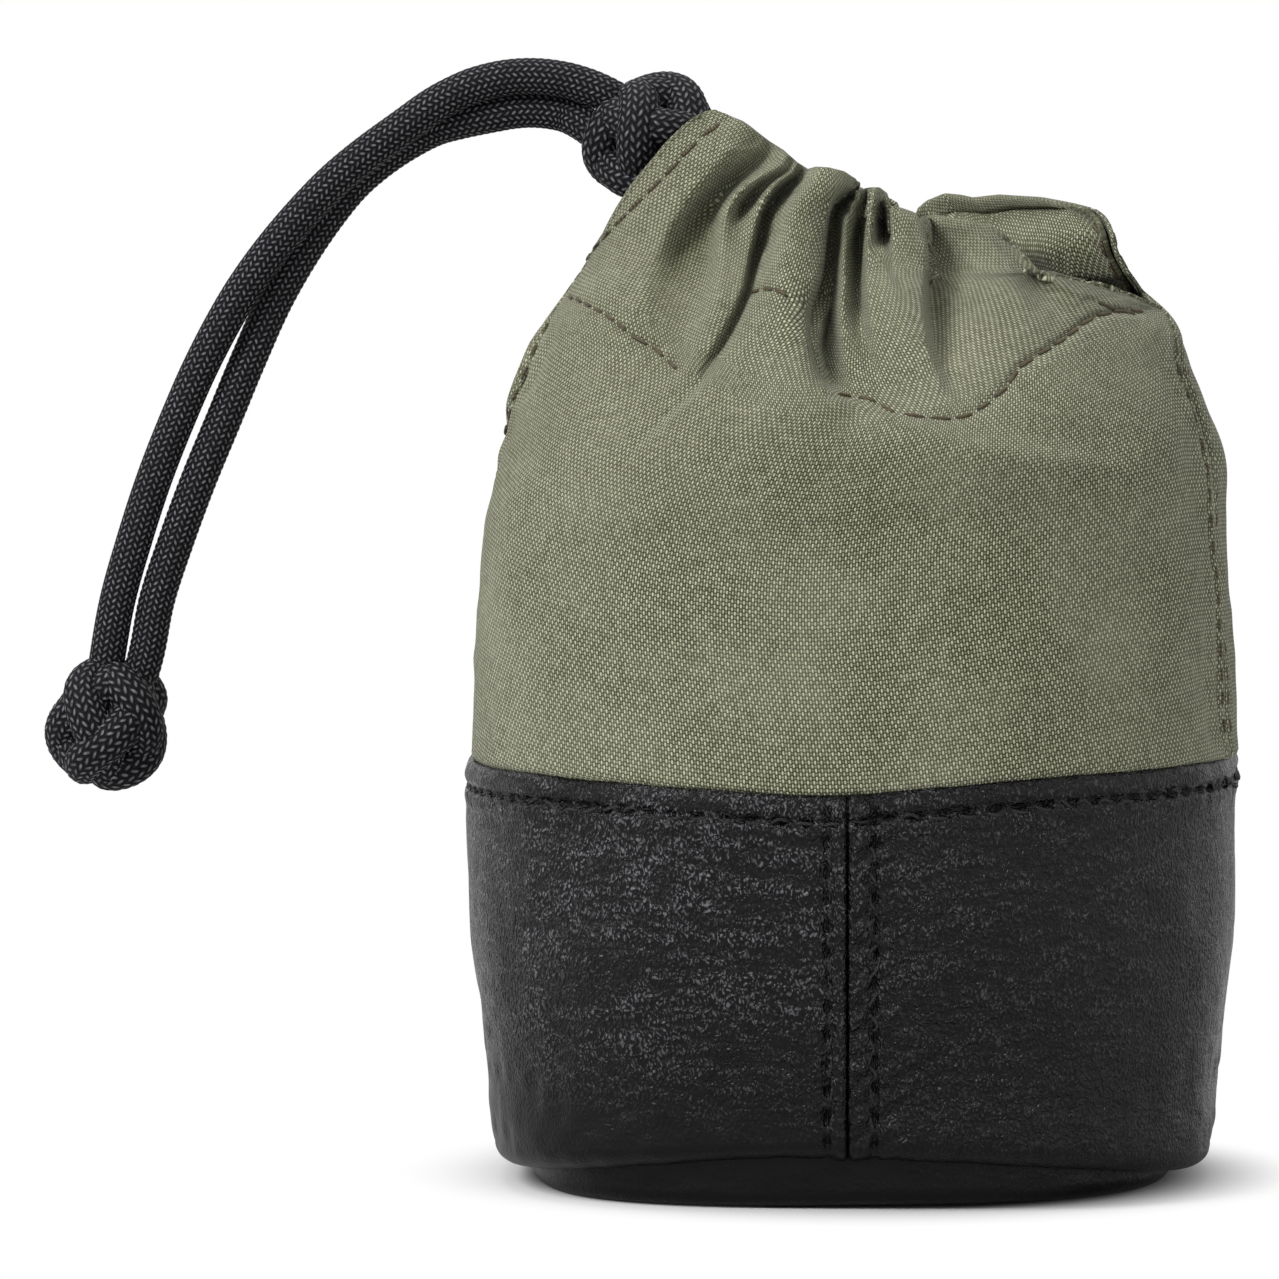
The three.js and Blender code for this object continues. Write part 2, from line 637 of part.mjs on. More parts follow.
// The angle at which the outer surface stands a given distance from a seam's plane
function angleBeside(seamAngle, offset, z) {
  const reach = outerPoint(seamAngle, z).setZ(0).length();
  return seamAngle + Math.asin(offset / reach);
}
function seamThread(name, seamAngle, offset, low, high, finish) {
  threadBand(name, (column, row) => {
    const z = THREE.MathUtils.lerp(low, high, column);
    return { angle: angleBeside(seamAngle, offset - threadWidth * row, z), z };
  }, seamThreadColumnCount, finish);
}
const frontAngle = 1.5 * Math.PI;
const backAngle = 0.5 * Math.PI;
const seamLow = creaseHeightAtFront + creaseTuckHeight;
const seamHigh = rimHeight - rimRowDrop - threadWidth;
seamThread('front_seam_thread_left', frontAngle, -seamRowOffsetLeft, seamLow, seamHigh, blackThread);
seamThread('front_seam_thread_right', frontAngle, seamRowOffsetRight, seamLow, seamHigh, blackThread);
seamThread('back_seam_thread_left', backAngle, seamRowOffsetLeft, seamLow, seamHigh, blackThread);
seamThread('back_seam_thread_right', backAngle, -seamRowOffsetRight, seamLow, seamHigh, blackThread);

const sideLow = stepTop + plyGap;
const sideHigh = THREE.MathUtils.lerp(hemHeight, slitFootHeight, sideRowTopShare);
seamThread('side_thread_left_front', Math.PI, sideRowOffset, sideLow, sideHigh, brownThread);
seamThread('side_thread_left_back', Math.PI, -sideRowOffset, sideLow, sideHigh, brownThread);
seamThread('side_thread_right_front', 0, -sideRowOffset, sideLow, sideHigh, brownThread);
seamThread('side_thread_right_back', 0, sideRowOffset, sideLow, sideHigh, brownThread);

// Rows on the flaps run from column to column of the canvas, so that they follow its facets
function flapThread(name, turnOf, firstColumn, lastColumn, heightAt) {
  const columnCount = wallColumnCount / 2;
  threadBand(name, (column, row) => {
    const angle = turnOf(THREE.MathUtils.lerp(firstColumn, lastColumn, column) / columnCount);
    return { angle, z: heightAt(angle) + threadWidth * row };
  }, lastColumn - firstColumn, brownThread);
}
// A row beside a flap's edge stays over the hem's row
const besideEdge = (topShares) => (angle) => (
  Math.max(topAt(angle, topShares) - slitRowInset, hemOf(angle) + threadWidth + threadGap)
);
const besideFrontEdge = besideEdge(frontTopShares);
const besideBackEdge = besideEdge(backTopShares);
flapThread('hem_thread_front', frontTurn, 1, 29, hemOf);
flapThread('hem_thread_back', backTurn, 1, 29, hemOf);
flapThread('slit_thread_front_left', frontTurn, 4, 8, besideFrontEdge);
flapThread('slit_thread_front_right', frontTurn, 22, 24, besideFrontEdge);
flapThread('slit_thread_back_right', backTurn, 3, 6, besideBackEdge);
flapThread('slit_thread_back_left', backTurn, 24, 27, besideBackEdge);

console.log(`Tail lengths ${upperLength.toFixed(1)} and ${lowerLength.toFixed(1)} mm`);

export default group;
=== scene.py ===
# A padded drawstring pouch for a camera lens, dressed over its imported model.
# Lengths are in millimetres until a mesh is made, +Z is up and the front looks along -Y.
import math

import bpy
import numpy as np
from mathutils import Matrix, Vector


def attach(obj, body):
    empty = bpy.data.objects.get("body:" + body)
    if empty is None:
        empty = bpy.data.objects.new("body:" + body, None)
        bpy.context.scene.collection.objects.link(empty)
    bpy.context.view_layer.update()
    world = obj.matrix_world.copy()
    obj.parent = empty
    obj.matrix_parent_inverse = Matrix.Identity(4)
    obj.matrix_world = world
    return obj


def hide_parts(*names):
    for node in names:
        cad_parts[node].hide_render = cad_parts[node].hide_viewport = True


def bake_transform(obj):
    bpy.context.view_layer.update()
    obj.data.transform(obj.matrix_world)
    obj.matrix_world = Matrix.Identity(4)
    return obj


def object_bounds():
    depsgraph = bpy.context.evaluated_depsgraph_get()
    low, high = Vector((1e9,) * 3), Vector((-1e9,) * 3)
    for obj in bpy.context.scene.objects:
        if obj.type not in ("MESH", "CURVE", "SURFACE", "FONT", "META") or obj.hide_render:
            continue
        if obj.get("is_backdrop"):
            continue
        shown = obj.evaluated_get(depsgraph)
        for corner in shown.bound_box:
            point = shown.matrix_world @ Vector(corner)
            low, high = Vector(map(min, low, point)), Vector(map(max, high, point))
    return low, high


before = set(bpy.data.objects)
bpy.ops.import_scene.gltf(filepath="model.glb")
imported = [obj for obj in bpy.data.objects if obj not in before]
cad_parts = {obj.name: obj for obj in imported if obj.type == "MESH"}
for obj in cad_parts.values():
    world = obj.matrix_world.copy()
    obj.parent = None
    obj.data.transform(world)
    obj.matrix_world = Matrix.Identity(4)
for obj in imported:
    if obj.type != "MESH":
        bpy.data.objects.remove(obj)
model_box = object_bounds()

MM = 0.001
TURN = 2 * math.pi

# The camera, and where a point shows in the photograph's 1279 pixels
PHOTO_SIDE = 1279
PHOTO_MIDDLE = 0.5 * PHOTO_SIDE
PIXELS_PER_MM = 9
POUCH_CENTRE_PIXEL = 855
SENSOR_WIDTH = 36
CAMERA_DISTANCE = 900
CAMERA_AZIMUTH = math.radians(2.5)
CAMERA_ELEVATION = math.radians(3)
LENS_LENGTH = PIXELS_PER_MM * CAMERA_DISTANCE * SENSOR_WIDTH / PHOTO_SIDE
CAMERA_TARGET = np.array([-23.9, 0, 59.13])

CAMERA_BACK = np.array([
    math.sin(CAMERA_AZIMUTH) * math.cos(CAMERA_ELEVATION),
    -math.cos(CAMERA_AZIMUTH) * math.cos(CAMERA_ELEVATION),
    math.sin(CAMERA_ELEVATION),
])
CAMERA_PLACE = CAMERA_TARGET + CAMERA_DISTANCE * CAMERA_BACK
CAMERA_RIGHT = np.array([math.cos(CAMERA_AZIMUTH), math.sin(CAMERA_AZIMUTH), 0])
CAMERA_UP = np.cross(CAMERA_BACK, CAMERA_RIGHT)


def add_camera():
    data = bpy.data.cameras.new("photo_camera")
    data.sensor_width = SENSOR_WIDTH
    data.lens = LENS_LENGTH
    data.clip_start = 0.01
    data.clip_end = 20
    camera = bpy.data.objects.new("photo_camera", data)
    camera.location = Vector(CAMERA_PLACE * MM)
    camera.rotation_mode = "QUATERNION"
    camera.rotation_quaternion = Vector(-CAMERA_BACK).to_track_quat("-Z", "Y")
    bpy.context.scene.collection.objects.link(camera)
    bpy.context.scene.camera = camera


add_camera()


def to_pixels(points):
    """Where points show in the photograph, as two arrays of pixels."""
    offset = np.asarray(points, float) - CAMERA_PLACE
    distance = -offset @ CAMERA_BACK
    scale = PIXELS_PER_MM * CAMERA_DISTANCE / distance
    return PHOTO_MIDDLE + scale * (offset @ CAMERA_RIGHT), PHOTO_MIDDLE - scale * (offset @ CAMERA_UP)


def pixel_rays(across, down):
    """Directions from the camera through pixels."""
    scale = PIXELS_PER_MM * CAMERA_DISTANCE
    side = (np.asarray(across, float)[..., None] - PHOTO_MIDDLE) / scale * CAMERA_RIGHT
    rise = (PHOTO_MIDDLE - np.asarray(down, float)[..., None]) / scale * CAMERA_UP
    return side + rise - CAMERA_BACK


# Sizes shared with the solids
HALF_BODY = 43.3
SLIT_FOOT = 97.3
PEAK = 118
RIM = 45
HEM_MIDDLE = 84
LEATHER = 1.4
SEAM_GAP = 0.3
CANVAS_DEPTH_IN_CUP = 1.7
CORD_WIDTH = 4
CORD_GAP = 0.3
CORD_LEVEL = 102
OUTLINE = [
    [0.013, 0.885, 0.885, 3.2], [0.052, 0.921, 0.921, 3.1], [0.128, 0.941, 0.941, 2.9],
    [0.216, 0.967, 0.967, 2.7], [0.31, 0.988, 0.988, 2.45], [0.42, 1, 1, 2.3],
    [0.463, 0.999, 0.999, 2.25], [0.54, 0.984, 0.984, 2.2], [0.63, 0.968, 0.968, 2.2],
    [0.72, 0.953, 0.953, 2.2], [0.79, 0.942, 0.94, 2.2], [0.86, 0.908, 0.885, 2.2],
    [0.905, 0.875, 0.8, 2.2], [0.95, 0.831, 0.69, 2.2], [1, 0.745, 0.56, 2.25],
    [1.045, 0.68, 0.44, 2.3], [1.09, 0.655, 0.385, 2.3], [1.14, 0.64, 0.355, 2.3],
    [1.22, 0.63, 0.34, 2.3],
]


def smooth_between(share, span, low, high, leave, reach):
    """A curve from one value to another, with its slopes at both, a share of the way along a span."""
    square, cube = share ** 2, share ** 3
    return (
        (2 * cube - 3 * square + 1) * low + (cube - 2 * square + share) * span * leave
        + (3 * square - 2 * cube) * high + (cube - square) * span * reach
    )


class SmoothTable:
    """A smooth curve through the rows of a table whose first column rises."""

    def __init__(self, rows):
        rows = np.array(rows, float)
        self.place = rows[:, 0]
        self.values = rows[:, 1:]
        self.slopes = np.gradient(self.values, self.place, axis=0)

    def __call__(self, place):
        place = np.clip(place, self.place[0], self.place[-1])
        low = np.clip(np.searchsorted(self.place, place, side="right") - 1, 0, len(self.place) - 2)
        span = self.place[low + 1] - self.place[low]
        share = ((place - self.place[low]) / span)[..., None]
        ends = [column[low + step] for column in (self.values, self.slopes) for step in (0, 1)]
        return smooth_between(share, span[..., None], *ends)


def smoothstep(value, low, high):
    share = np.clip((value - low) / (high - low), 0, 1)
    return share * share * (3 - 2 * share)


def mix(low, high, share):
    return low + (high - low) * share


def bell(offset, width, power=2):
    """1 in the middle, and next to nothing past twice the width."""
    return np.exp(-((offset / width) ** power))


outline_at = SmoothTable(OUTLINE)


def squared_reach(turn, half_width, half_depth, squareness):
    """The reach of a rounded square at an angle from its left side."""
    across = (np.abs(np.cos(turn)) / half_width) ** squareness
    deep = (np.abs(np.sin(turn)) / half_depth) ** squareness
    return (across + deep) ** (-1 / squareness)


def round_point(reach, turn, height, side):
    """A place at a reach from the middle axis and a turn from the left side."""
    return np.stack([-reach * np.cos(turn), side * reach * np.sin(turn), height + 0 * reach], axis=-1)


def body_reach(turn, height):
    sizes = outline_at(np.asarray(height, float) / SLIT_FOOT)
    return squared_reach(turn, HALF_BODY * sizes[..., 0], HALF_BODY * sizes[..., 1], sizes[..., 2])


# Shares of the way along each half of the outline, from the left side to the right
TABLE_HEIGHTS = np.arange(0, 124.1, 0.5)
TABLE_TURNS = np.linspace(0, math.pi, 721)
TABLE_SHARES = np.linspace(0, 1, 401)


def make_share_tables():
    heights, turns = np.meshgrid(TABLE_HEIGHTS, TABLE_TURNS, indexing="ij")
    reach = body_reach(turns, heights)
    across, deep = -reach * np.cos(turns), reach * np.sin(turns)
    steps = np.hypot(np.diff(across, axis=1), np.diff(deep, axis=1))
    along = np.concatenate([np.zeros((len(heights), 1)), np.cumsum(steps, axis=1)], axis=1)
    shares = along / along[:, -1:]
    turn_rows = np.array([np.interp(TABLE_SHARES, row, TABLE_TURNS) for row in shares])
    return shares, turn_rows, along[:, -1]


SHARE_OF_TURN, TURN_OF_SHARE, HALF_ROUND = make_share_tables()


def read_grid(table, rows, columns):
    """Reads a table between its cells, at fractional rows and columns."""
    rows = np.clip(rows, 0, table.shape[0] - 1.001)
    columns = np.clip(columns, 0, table.shape[1] - 1.001)
    row, column = rows.astype(int), columns.astype(int)
    down, over = rows - row, columns - column
    top = mix(table[row, column], table[row, column + 1], over)
    bottom = mix(table[row + 1, column], table[row + 1, column + 1], over)
    return mix(top, bottom, down)


def share_to_turn(share, height):
    return read_grid(TURN_OF_SHARE, np.asarray(height, float) * 2, np.asarray(share, float) * 400)


def turn_to_share(turn, height):
    return read_grid(SHARE_OF_TURN, np.asarray(height, float) * 2, np.asarray(turn, float) / math.pi * 720)


FRONT, BACK = -1, 1


def body_point(share, height, side):
    """The pouch's outer surface, by the share of the way round a half from its left side."""
    turn = share_to_turn(share, height)
    return round_point(body_reach(turn, height), turn, height, side)


def around_point(place, height):
    """The outer surface, from 0 at the left side round the front to 1, and round the back to 2."""
    place = np.asarray(place, float) % 2
    side = np.where(place <= 1, FRONT, BACK)
    return body_point(np.where(place <= 1, place, 2 - place), height, side)


def half_round(height):
    """Half the way round the pouch at a height."""
    return np.interp(height, TABLE_HEIGHTS, HALF_ROUND)


# How far the canvas's side seams lie in front of the pouch's sides, by height
LEFT_SEAM = SmoothTable([
    [40, -1.5], [76, -1.5], [81, 1.5], [86, 6], [90, 7.5], [93, 6], [95.5, 2.5], [SLIT_FOOT, 0], [124, 0],
])
RIGHT_SEAM = SmoothTable([
    [40, 10.5], [50, 11], [62, 12], [78, 12], [86, 11], [90, 9], [93.5, 4.5], [96, 1], [SLIT_FOOT, 0],
    [124, 0],
])


def left_seam_place(height):
    return LEFT_SEAM(height)[..., 0] / half_round(height)


def right_seam_place(height):
    return 1 - RIGHT_SEAM(height)[..., 0] / half_round(height)


def outline_depth(across, height):
    """How far in front of the middle the body's outline lies."""
    sizes = outline_at(height / SLIT_FOOT)
    spare = 1 - np.clip(np.abs(across) / (HALF_BODY * sizes[:, 0]), 0, 1) ** sizes[:, 2]
    return HALF_BODY * sizes[:, 1] * spare ** (1 / sizes[:, 2])


def pixels_to_shares(route):
    """Pixels on the front of the body's outer surface as shares and heights."""
    across, down = np.array(route, float).T
    rays = pixel_rays(across, down)
    depth = np.full(len(across), 14.0)
    for _ in range(40):
        places = CAMERA_PLACE + rays * ((FRONT * depth - CAMERA_PLACE[1]) / rays[:, 1])[:, None]
        depth = mix(depth, outline_depth(places[:, 0], places[:, 2]), 0.5)
    return turn_to_share(np.arctan2(depth, -places[:, 0]), places[:, 2]), places[:, 2]


# Meshes
def join_grid(rows, columns, wrap=False, start=0):
    """The four-sided faces of a grid of points, row after row."""
    row, column = np.meshgrid(np.arange(rows - 1), np.arange(columns if wrap else columns - 1), indexing="ij")
    over = (column + 1) % columns
    low, high = row * columns, (row + 1) * columns
    return start + np.stack([low + column, low + over, high + over, high + column], axis=-1).reshape(-1, 4)


def make_piece(name, points, faces, finish, body="pouch"):
    points = np.asarray(points, float).reshape(-1, 3) * MM
    mesh = bpy.data.meshes.new(name)
    mesh.from_pydata(points.tolist(), [], [list(map(int, face)) for face in faces])
    mesh.update()
    mesh.shade_smooth()
    piece = bpy.data.objects.new(name, mesh)
    bpy.context.scene.collection.objects.link(piece)
    mesh.materials.append(finish)
    if body:
        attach(piece, body)
    return piece


def store(piece, name, values, domain="POINT"):
    """Keeps three numbers a point, or a corner, for the materials."""
    attribute = piece.data.attributes.new(name, "FLOAT_VECTOR", domain)
    attribute.data.foreach_set("vector", np.asarray(values, np.float32).ravel())


def thicken(piece, thickness):
    """Gives a sheet its thickness, inwards from its face."""
    solid = piece.modifiers.new("thickness", "SOLIDIFY")
    solid.thickness = thickness * MM
    solid.offset = -1
    solid.use_even_offset = False


def soften(field, passes):
    """Evens a grid of numbers out with its neighbours."""
    for _ in range(passes):
        for axis in (0, 1):
            ends = [(1, 1) if axis == other else (0, 0) for other in range(field.ndim)]
            padded = np.pad(field, ends, mode="edge")
            before = np.take(padded, range(0, field.shape[axis]), axis=axis)
            after = np.take(padded, range(2, field.shape[axis] + 2), axis=axis)
            field = 0.25 * before + 0.5 * field + 0.25 * after
    return field


def smooth_line(points, passes=3):
    for _ in range(passes):
        middle = 0.25 * points[:-2] + 0.5 * points[1:-1] + 0.25 * points[2:]
        points = np.concatenate([points[:1], middle, points[-1:]])
    return points


def soft_noise(across, up, size, seed):
    """Gentle seeded undulation from -1 to 1, with bumps of a size."""
    lattice = np.random.RandomState(seed).uniform(-1, 1, (97, 89))
    across, up = np.asarray(across, float) / size + 20, np.asarray(up, float) / size + 20
    column, row = np.floor(across).astype(int), np.floor(up).astype(int)
    over, rise = smoothstep(across - column, 0, 1), smoothstep(up - row, 0, 1)
    corner = lambda right, top: lattice[(row + top) % 97, (column + right) % 89]
    return mix(mix(corner(0, 0), corner(1, 0), over), mix(corner(0, 1), corner(1, 1), over), rise)


def unit(vectors):
    return vectors / np.maximum(np.linalg.norm(vectors, axis=-1, keepdims=True), 1e-9)


def grid_normals(points):
    """Outward normals of a grid whose rows run round the pouch and rise."""
    return unit(np.cross(np.gradient(points, axis=1), np.gradient(points, axis=0)))


def lengths_along(points, axis=0):
    """Distance covered along a line of points, or along each line of a grid."""
    steps = np.linalg.norm(np.diff(points, axis=axis), axis=-1)
    start = np.zeros_like(np.take(steps, [0], axis=axis))
    return np.concatenate([start, np.cumsum(steps, axis=axis)], axis=axis)


def read_line(points, along, places):
    """A line of points read at places along it."""
    return np.stack([np.interp(places, along, column) for column in points.T], axis=1)


# Materials
def maths_method(operation, reflected=False):
    """A method that puts a value, and any others, through one Math node."""
    def method(value, *others):
        return value.nodes.maths(operation, *((*others, value) if reflected else (value, *others)))
    return method


class Value:
    """A number on its way through a tree of nodes."""

    def __init__(self, nodes, socket):
        self.nodes = nodes
        self.socket = socket

    __add__ = __radd__ = maths_method("ADD")
    __mul__ = __rmul__ = maths_method("MULTIPLY")
    __sub__, __rsub__ = maths_method("SUBTRACT"), maths_method("SUBTRACT", reflected=True)
    __truediv__ = maths_method("DIVIDE")
    __pow__ = maths_method("POWER")
    fraction = maths_method("FRACT")
    floor = maths_method("FLOOR")
    size = maths_method("ABSOLUTE")
    most = maths_method("MAXIMUM")
    least = maths_method("MINIMUM")
    over = maths_method("GREATER_THAN")

    def step(self, low, high):
        """Rises smoothly from 0 to 1 between two values."""
        inputs = {"Value": self, "From Min": low, "From Max": high}
        node = self.nodes.node("ShaderNodeMapRange", {"interpolation_type": "SMOOTHSTEP"}, inputs)
        return self.nodes.number(node, "Result")


class Nodes:
    """The nodes of a material or of the world, empty at first but for its output."""

    def __init__(self, owner, output_kind):
        owner.use_nodes = True
        self.tree = owner.node_tree
        self.tree.nodes.clear()
        self.output = self.node(output_kind, {}, {})

    def node(self, kind, settings, inputs):
        """Adds a node of a kind, with its settings first and then its inputs."""
        node = self.tree.nodes.new(kind)
        for name, choice in settings.items():
            setattr(node, name, choice)
        for name, source in inputs.items():
            self.feed(node.inputs[name], source)
        return node

    def feed(self, socket, source):
        if isinstance(source, Value):
            source = source.socket
        if isinstance(source, bpy.types.NodeSocket):
            self.tree.links.new(source, socket)
        else:
            socket.default_value = source

    def number(self, node, output):
        return Value(self, node.outputs[output])

    def maths(self, operation, *operands):
        node = self.node("ShaderNodeMath", {"operation": operation}, dict(enumerate(operands)))
        return self.number(node, 0)


class Finish(Nodes):
    """A material, with its shader and the nodes that feed it."""

    def __init__(self, name, **constants):
        self.material = bpy.data.materials.new(name)
        super().__init__(self.material, "ShaderNodeOutputMaterial")
        self.shader = self.node("ShaderNodeBsdfPrincipled", {}, {})
        self.feed(self.output.inputs["Surface"], self.shader.outputs[0])
        for socket, constant in constants.items():
            self.shader.inputs[socket.replace("_", " ")].default_value = constant

    def place(self):
        """The object's own place, in millimetres."""
        inside = self.node("ShaderNodeTexCoord", {}, {}).outputs["Object"]
        settings = {"operation": "SCALE"}
        return self.node("ShaderNodeVectorMath", settings, {0: inside, "Scale": 1 / MM}).outputs[0]

    def stored(self, name):
        return self.node("ShaderNodeAttribute", {"attribute_name": name}, {}).outputs["Vector"]

    def parts(self, vector):
        node = self.node("ShaderNodeSeparateXYZ", {}, {0: vector})
        return [self.number(node, axis) for axis in range(3)]

    def vector(self, *parts):
        return self.node("ShaderNodeCombineXYZ", {}, dict(enumerate(parts))).outputs[0]

    def stretched(self, vector, scales):
        return self.node("ShaderNodeVectorMath", {"operation": "MULTIPLY"}, {0: vector, 1: scales}).outputs[0]

    def noise(self, vector, size, detail=2.0, roughness=0.5):
        inputs = {"Vector": vector, "Scale": 1 / size, "Detail": detail, "Roughness": roughness}
        return self.number(self.node("ShaderNodeTexNoise", {}, inputs), "Fac")

    def cells(self, vector, size, feature="F1"):
        inputs = {"Vector": vector, "Scale": 1 / size}
        return self.number(self.node("ShaderNodeTexVoronoi", {"feature": feature}, inputs), "Distance")

    def chance(self, vector):
        return self.number(self.node("ShaderNodeTexWhiteNoise", {}, {"Vector": vector}), "Value")

    def colour(self, share, low, high):
        """A colour between two, each a fixed one or another mixed one."""
        inputs = {0: share, 6: low, 7: high}
        return self.node("ShaderNodeMix", {"data_type": "RGBA"}, inputs).outputs[2]

    def bump(self, height, reach, strength=1.0, under=None):
        """A normal from a height, whose full rise is given in millimetres."""
        inputs = {"Height": height, "Distance": reach * MM, "Strength": strength}
        if under is not None:
            inputs["Normal"] = under
        return self.node("ShaderNodeBump", {}, inputs).outputs[0]

    def finish_with(self, **sources):
        for socket, source in sources.items():
            self.feed(self.shader.inputs[socket.replace("_", " ")], source)
        return self.material


def shade(red, green, blue):
    """A colour written as a picture holds it, from 0 to 255, in the shader's own terms."""
    parts = np.array([red, green, blue]) / 255
    linear = np.where(parts <= 0.04045, parts / 12.92, ((parts + 0.055) / 1.055) ** 2.4)
    return (*linear.tolist(), 1.0)


WARP_PITCH = 0.319
WEFT_PITCH = 0.441


def woven_finish(name, dark, mid, light, warp=WARP_PITCH, weft=WEFT_PITCH, rise=0.12):
    """Plain weave: yarns cross one over one. Their crowns are painted pale as painted highlight, and the gaps
    dark as painted shade.
    """
    cloth = Finish(name, Roughness=0.85, Specular_IOR_Level=0.2, Sheen_Weight=0.12, Sheen_Roughness=0.4)
    across, up, _ = cloth.parts(cloth.stored("cloth"))
    place = cloth.place()
    sway = cloth.noise(place, 9.0) - 0.5
    across = across / warp + sway * 0.8
    up = up / weft + sway * 0.6
    column, row = across.floor(), up.floor()
    beside = (across.fraction() - 0.5) * 2
    along = (up.fraction() - 0.5) * 2
    warp_on_top = ((column + row) * 0.5).fraction() * 2
    warp_crown = (1 - beside * beside) * (1 - along * along * 0.4)
    weft_crown = (1 - along * along) * (1 - beside * beside * 0.55)
    crown = warp_crown * warp_on_top + weft_crown * (1 - warp_on_top) * 0.62
    yarn = cloth.chance(cloth.vector(column, row, 0.0))
    slub = cloth.noise(cloth.vector(across, up, 0.0), 3.0, 3.0, 0.7)
    patch = cloth.noise(place, 14.0, 3.0)
    # Painted highlight and painted shade: yarn crowns painted pale and gaps dark, with random yarn and slub
    # tone mixed in.
    lit = (crown.step(0.05, 1.0) * 0.95 + (yarn - 0.5) * 0.2 + (slub - 0.5) * 0.5 - 0.02).most(0).least(1)
    body = cloth.colour(lit.step(0.0, 0.55), dark, mid)
    top = cloth.colour(lit.step(0.5, 1.0), body, light)
    # Random lighter patches in the cloth's own tone.
    patches_and_lit_side = cloth.colour((patch - 0.42).most(0) * 0.5, top, light)
    fuzz = cloth.noise(place, 0.12, 2.0)
    normal = cloth.bump(crown + fuzz * 0.25, rise)
    return cloth.finish_with(Base_Color=patches_and_lit_side, Normal=normal, Roughness=0.92 - crown * 0.14)


canvas_finish = woven_finish("olive_canvas", shade(54, 55, 37), shade(122, 124, 98), shade(192, 193, 168))
lining_finish = woven_finish(
    "lining_cloth", shade(34, 34, 36), shade(62, 62, 64), shade(86, 86, 88), warp=0.24, weft=0.24, rise=0.05
)


def leather_finish():
    """Fine-grained black leather: small glossy pebbles over a nearly black hide, with pebble crowns painted
    paler and bright glints painted on as painted highlights.
    """
    hide = Finish("black_leather", Specular_IOR_Level=0.16)
    place = hide.place()
    drift = hide.noise(place, 7.0, 2.0) - 0.5
    bend = hide.node("ShaderNodeTexNoise", {}, {"Vector": place, "Scale": 0.6}).outputs["Color"]
    inputs = {0: bend, 1: (1.4, 1.4, 1.4), 2: place}
    bent = hide.node("ShaderNodeVectorMath", {"operation": "MULTIPLY_ADD"}, inputs).outputs[0]
    grain = hide.stretched(bent, (1.2, 1.2, 0.75))
    pebbles = 1 - hide.cells(grain, 0.33, "SMOOTH_F1")
    creases = hide.cells(grain, 0.8, "DISTANCE_TO_EDGE").step(0.0, 0.3)
    ripples = hide.noise(hide.stretched(bent, (0.25, 0.25, 1)), 1.1, 2.0)
    side, _, up = hide.parts(place)
    grown = (up + side * 0.12).step(4, 14)
    height = (pebbles * 0.85 + creases * 0.2 + ripples * 1.5) * mix(0.25, 1, grown) + drift * 0.3
    crown = pebbles.step(0.4, 0.9) * grown
    # Painted highlight falloff: glints are painted stronger to the left and higher up, where the key light
    # falls.
    patches_and_lit_side = mix(0.4, 1, (0 - side).step(-10, 14)) * mix(0.45, 1, up.step(8, 36))
    # Painted glints: bright specks on the pebble crowns stand in for the key light's highlights.
    painted_glint = pebbles.step(0.58, 0.86) * (ripples + drift * 0.5).step(0.4, 0.62) * grown * patches_and_lit_side
    # Painted highlight: pebble crowns are painted paler than the hide between them.
    base = hide.colour(crown, shade(6, 6, 7), shade(19, 19, 21))
    with_painted_glints = hide.colour(painted_glint, base, shade(106, 106, 110))
    roughness = 0.3 - crown * 0.07 + drift * 0.12 + (1 - grown) * 0.1
    return hide.finish_with(Base_Color=with_painted_glints, Roughness=roughness, Normal=hide.bump(height, 0.3))


BRAID_PITCH = 0.77
BRAID_STRANDS = 20


def braid_finish():
    """Braided cord: columns of short floats that lean one way and then the other, with painted highlights on
    their crowns and painted shade in the gaps.
    """
    cord = Finish("braided_cord", Specular_IOR_Level=0.14)
    around, along, _ = cord.parts(cord.stored("braid"))
    first = along / BRAID_PITCH + around * BRAID_STRANDS
    second = along / BRAID_PITCH - around * BRAID_STRANDS
    column = first.floor() - second.floor()
    leans_back = (column * 0.25).fraction().over(0.49)
    across = mix(first.fraction(), second.fraction(), leans_back) * 2 - 1
    run = mix(second - first.floor() + 1, first - second.floor() - 2, leans_back)
    length = (run * 0.25).fraction() * 4 - 1
    crown = (1 - across * across) * (1 - length * length * 0.9)
    place = cord.place()
    patchy = cord.noise(place, 0.7, 3.0, 0.7)
    fibres = cord.noise(cord.stretched(cord.vector(first, second, 0.0), (3, 3, 1)), 1.0, 2.0)
    # Painted glints: bright specks on the float crowns, in random patches.
    painted_glint = (crown.step(0.58, 0.96) * (patchy * 3.2 - 0.9).most(0.15) * (0.5 + fibres)).least(1)
    # Painted highlight and shade: crowns painted lighter, gaps darker.
    base = cord.colour(crown.step(0.1, 0.7), shade(3, 3, 5), shade(15, 15, 18))
    colour = cord.colour(painted_glint, base, shade(112, 112, 118))
    fuzz = cord.noise(place, 0.12)
    normal = cord.bump(crown + fuzz * 0.25, 0.1)
    return cord.finish_with(Base_Color=colour, Normal=normal, Roughness=0.72 - crown * 0.14)


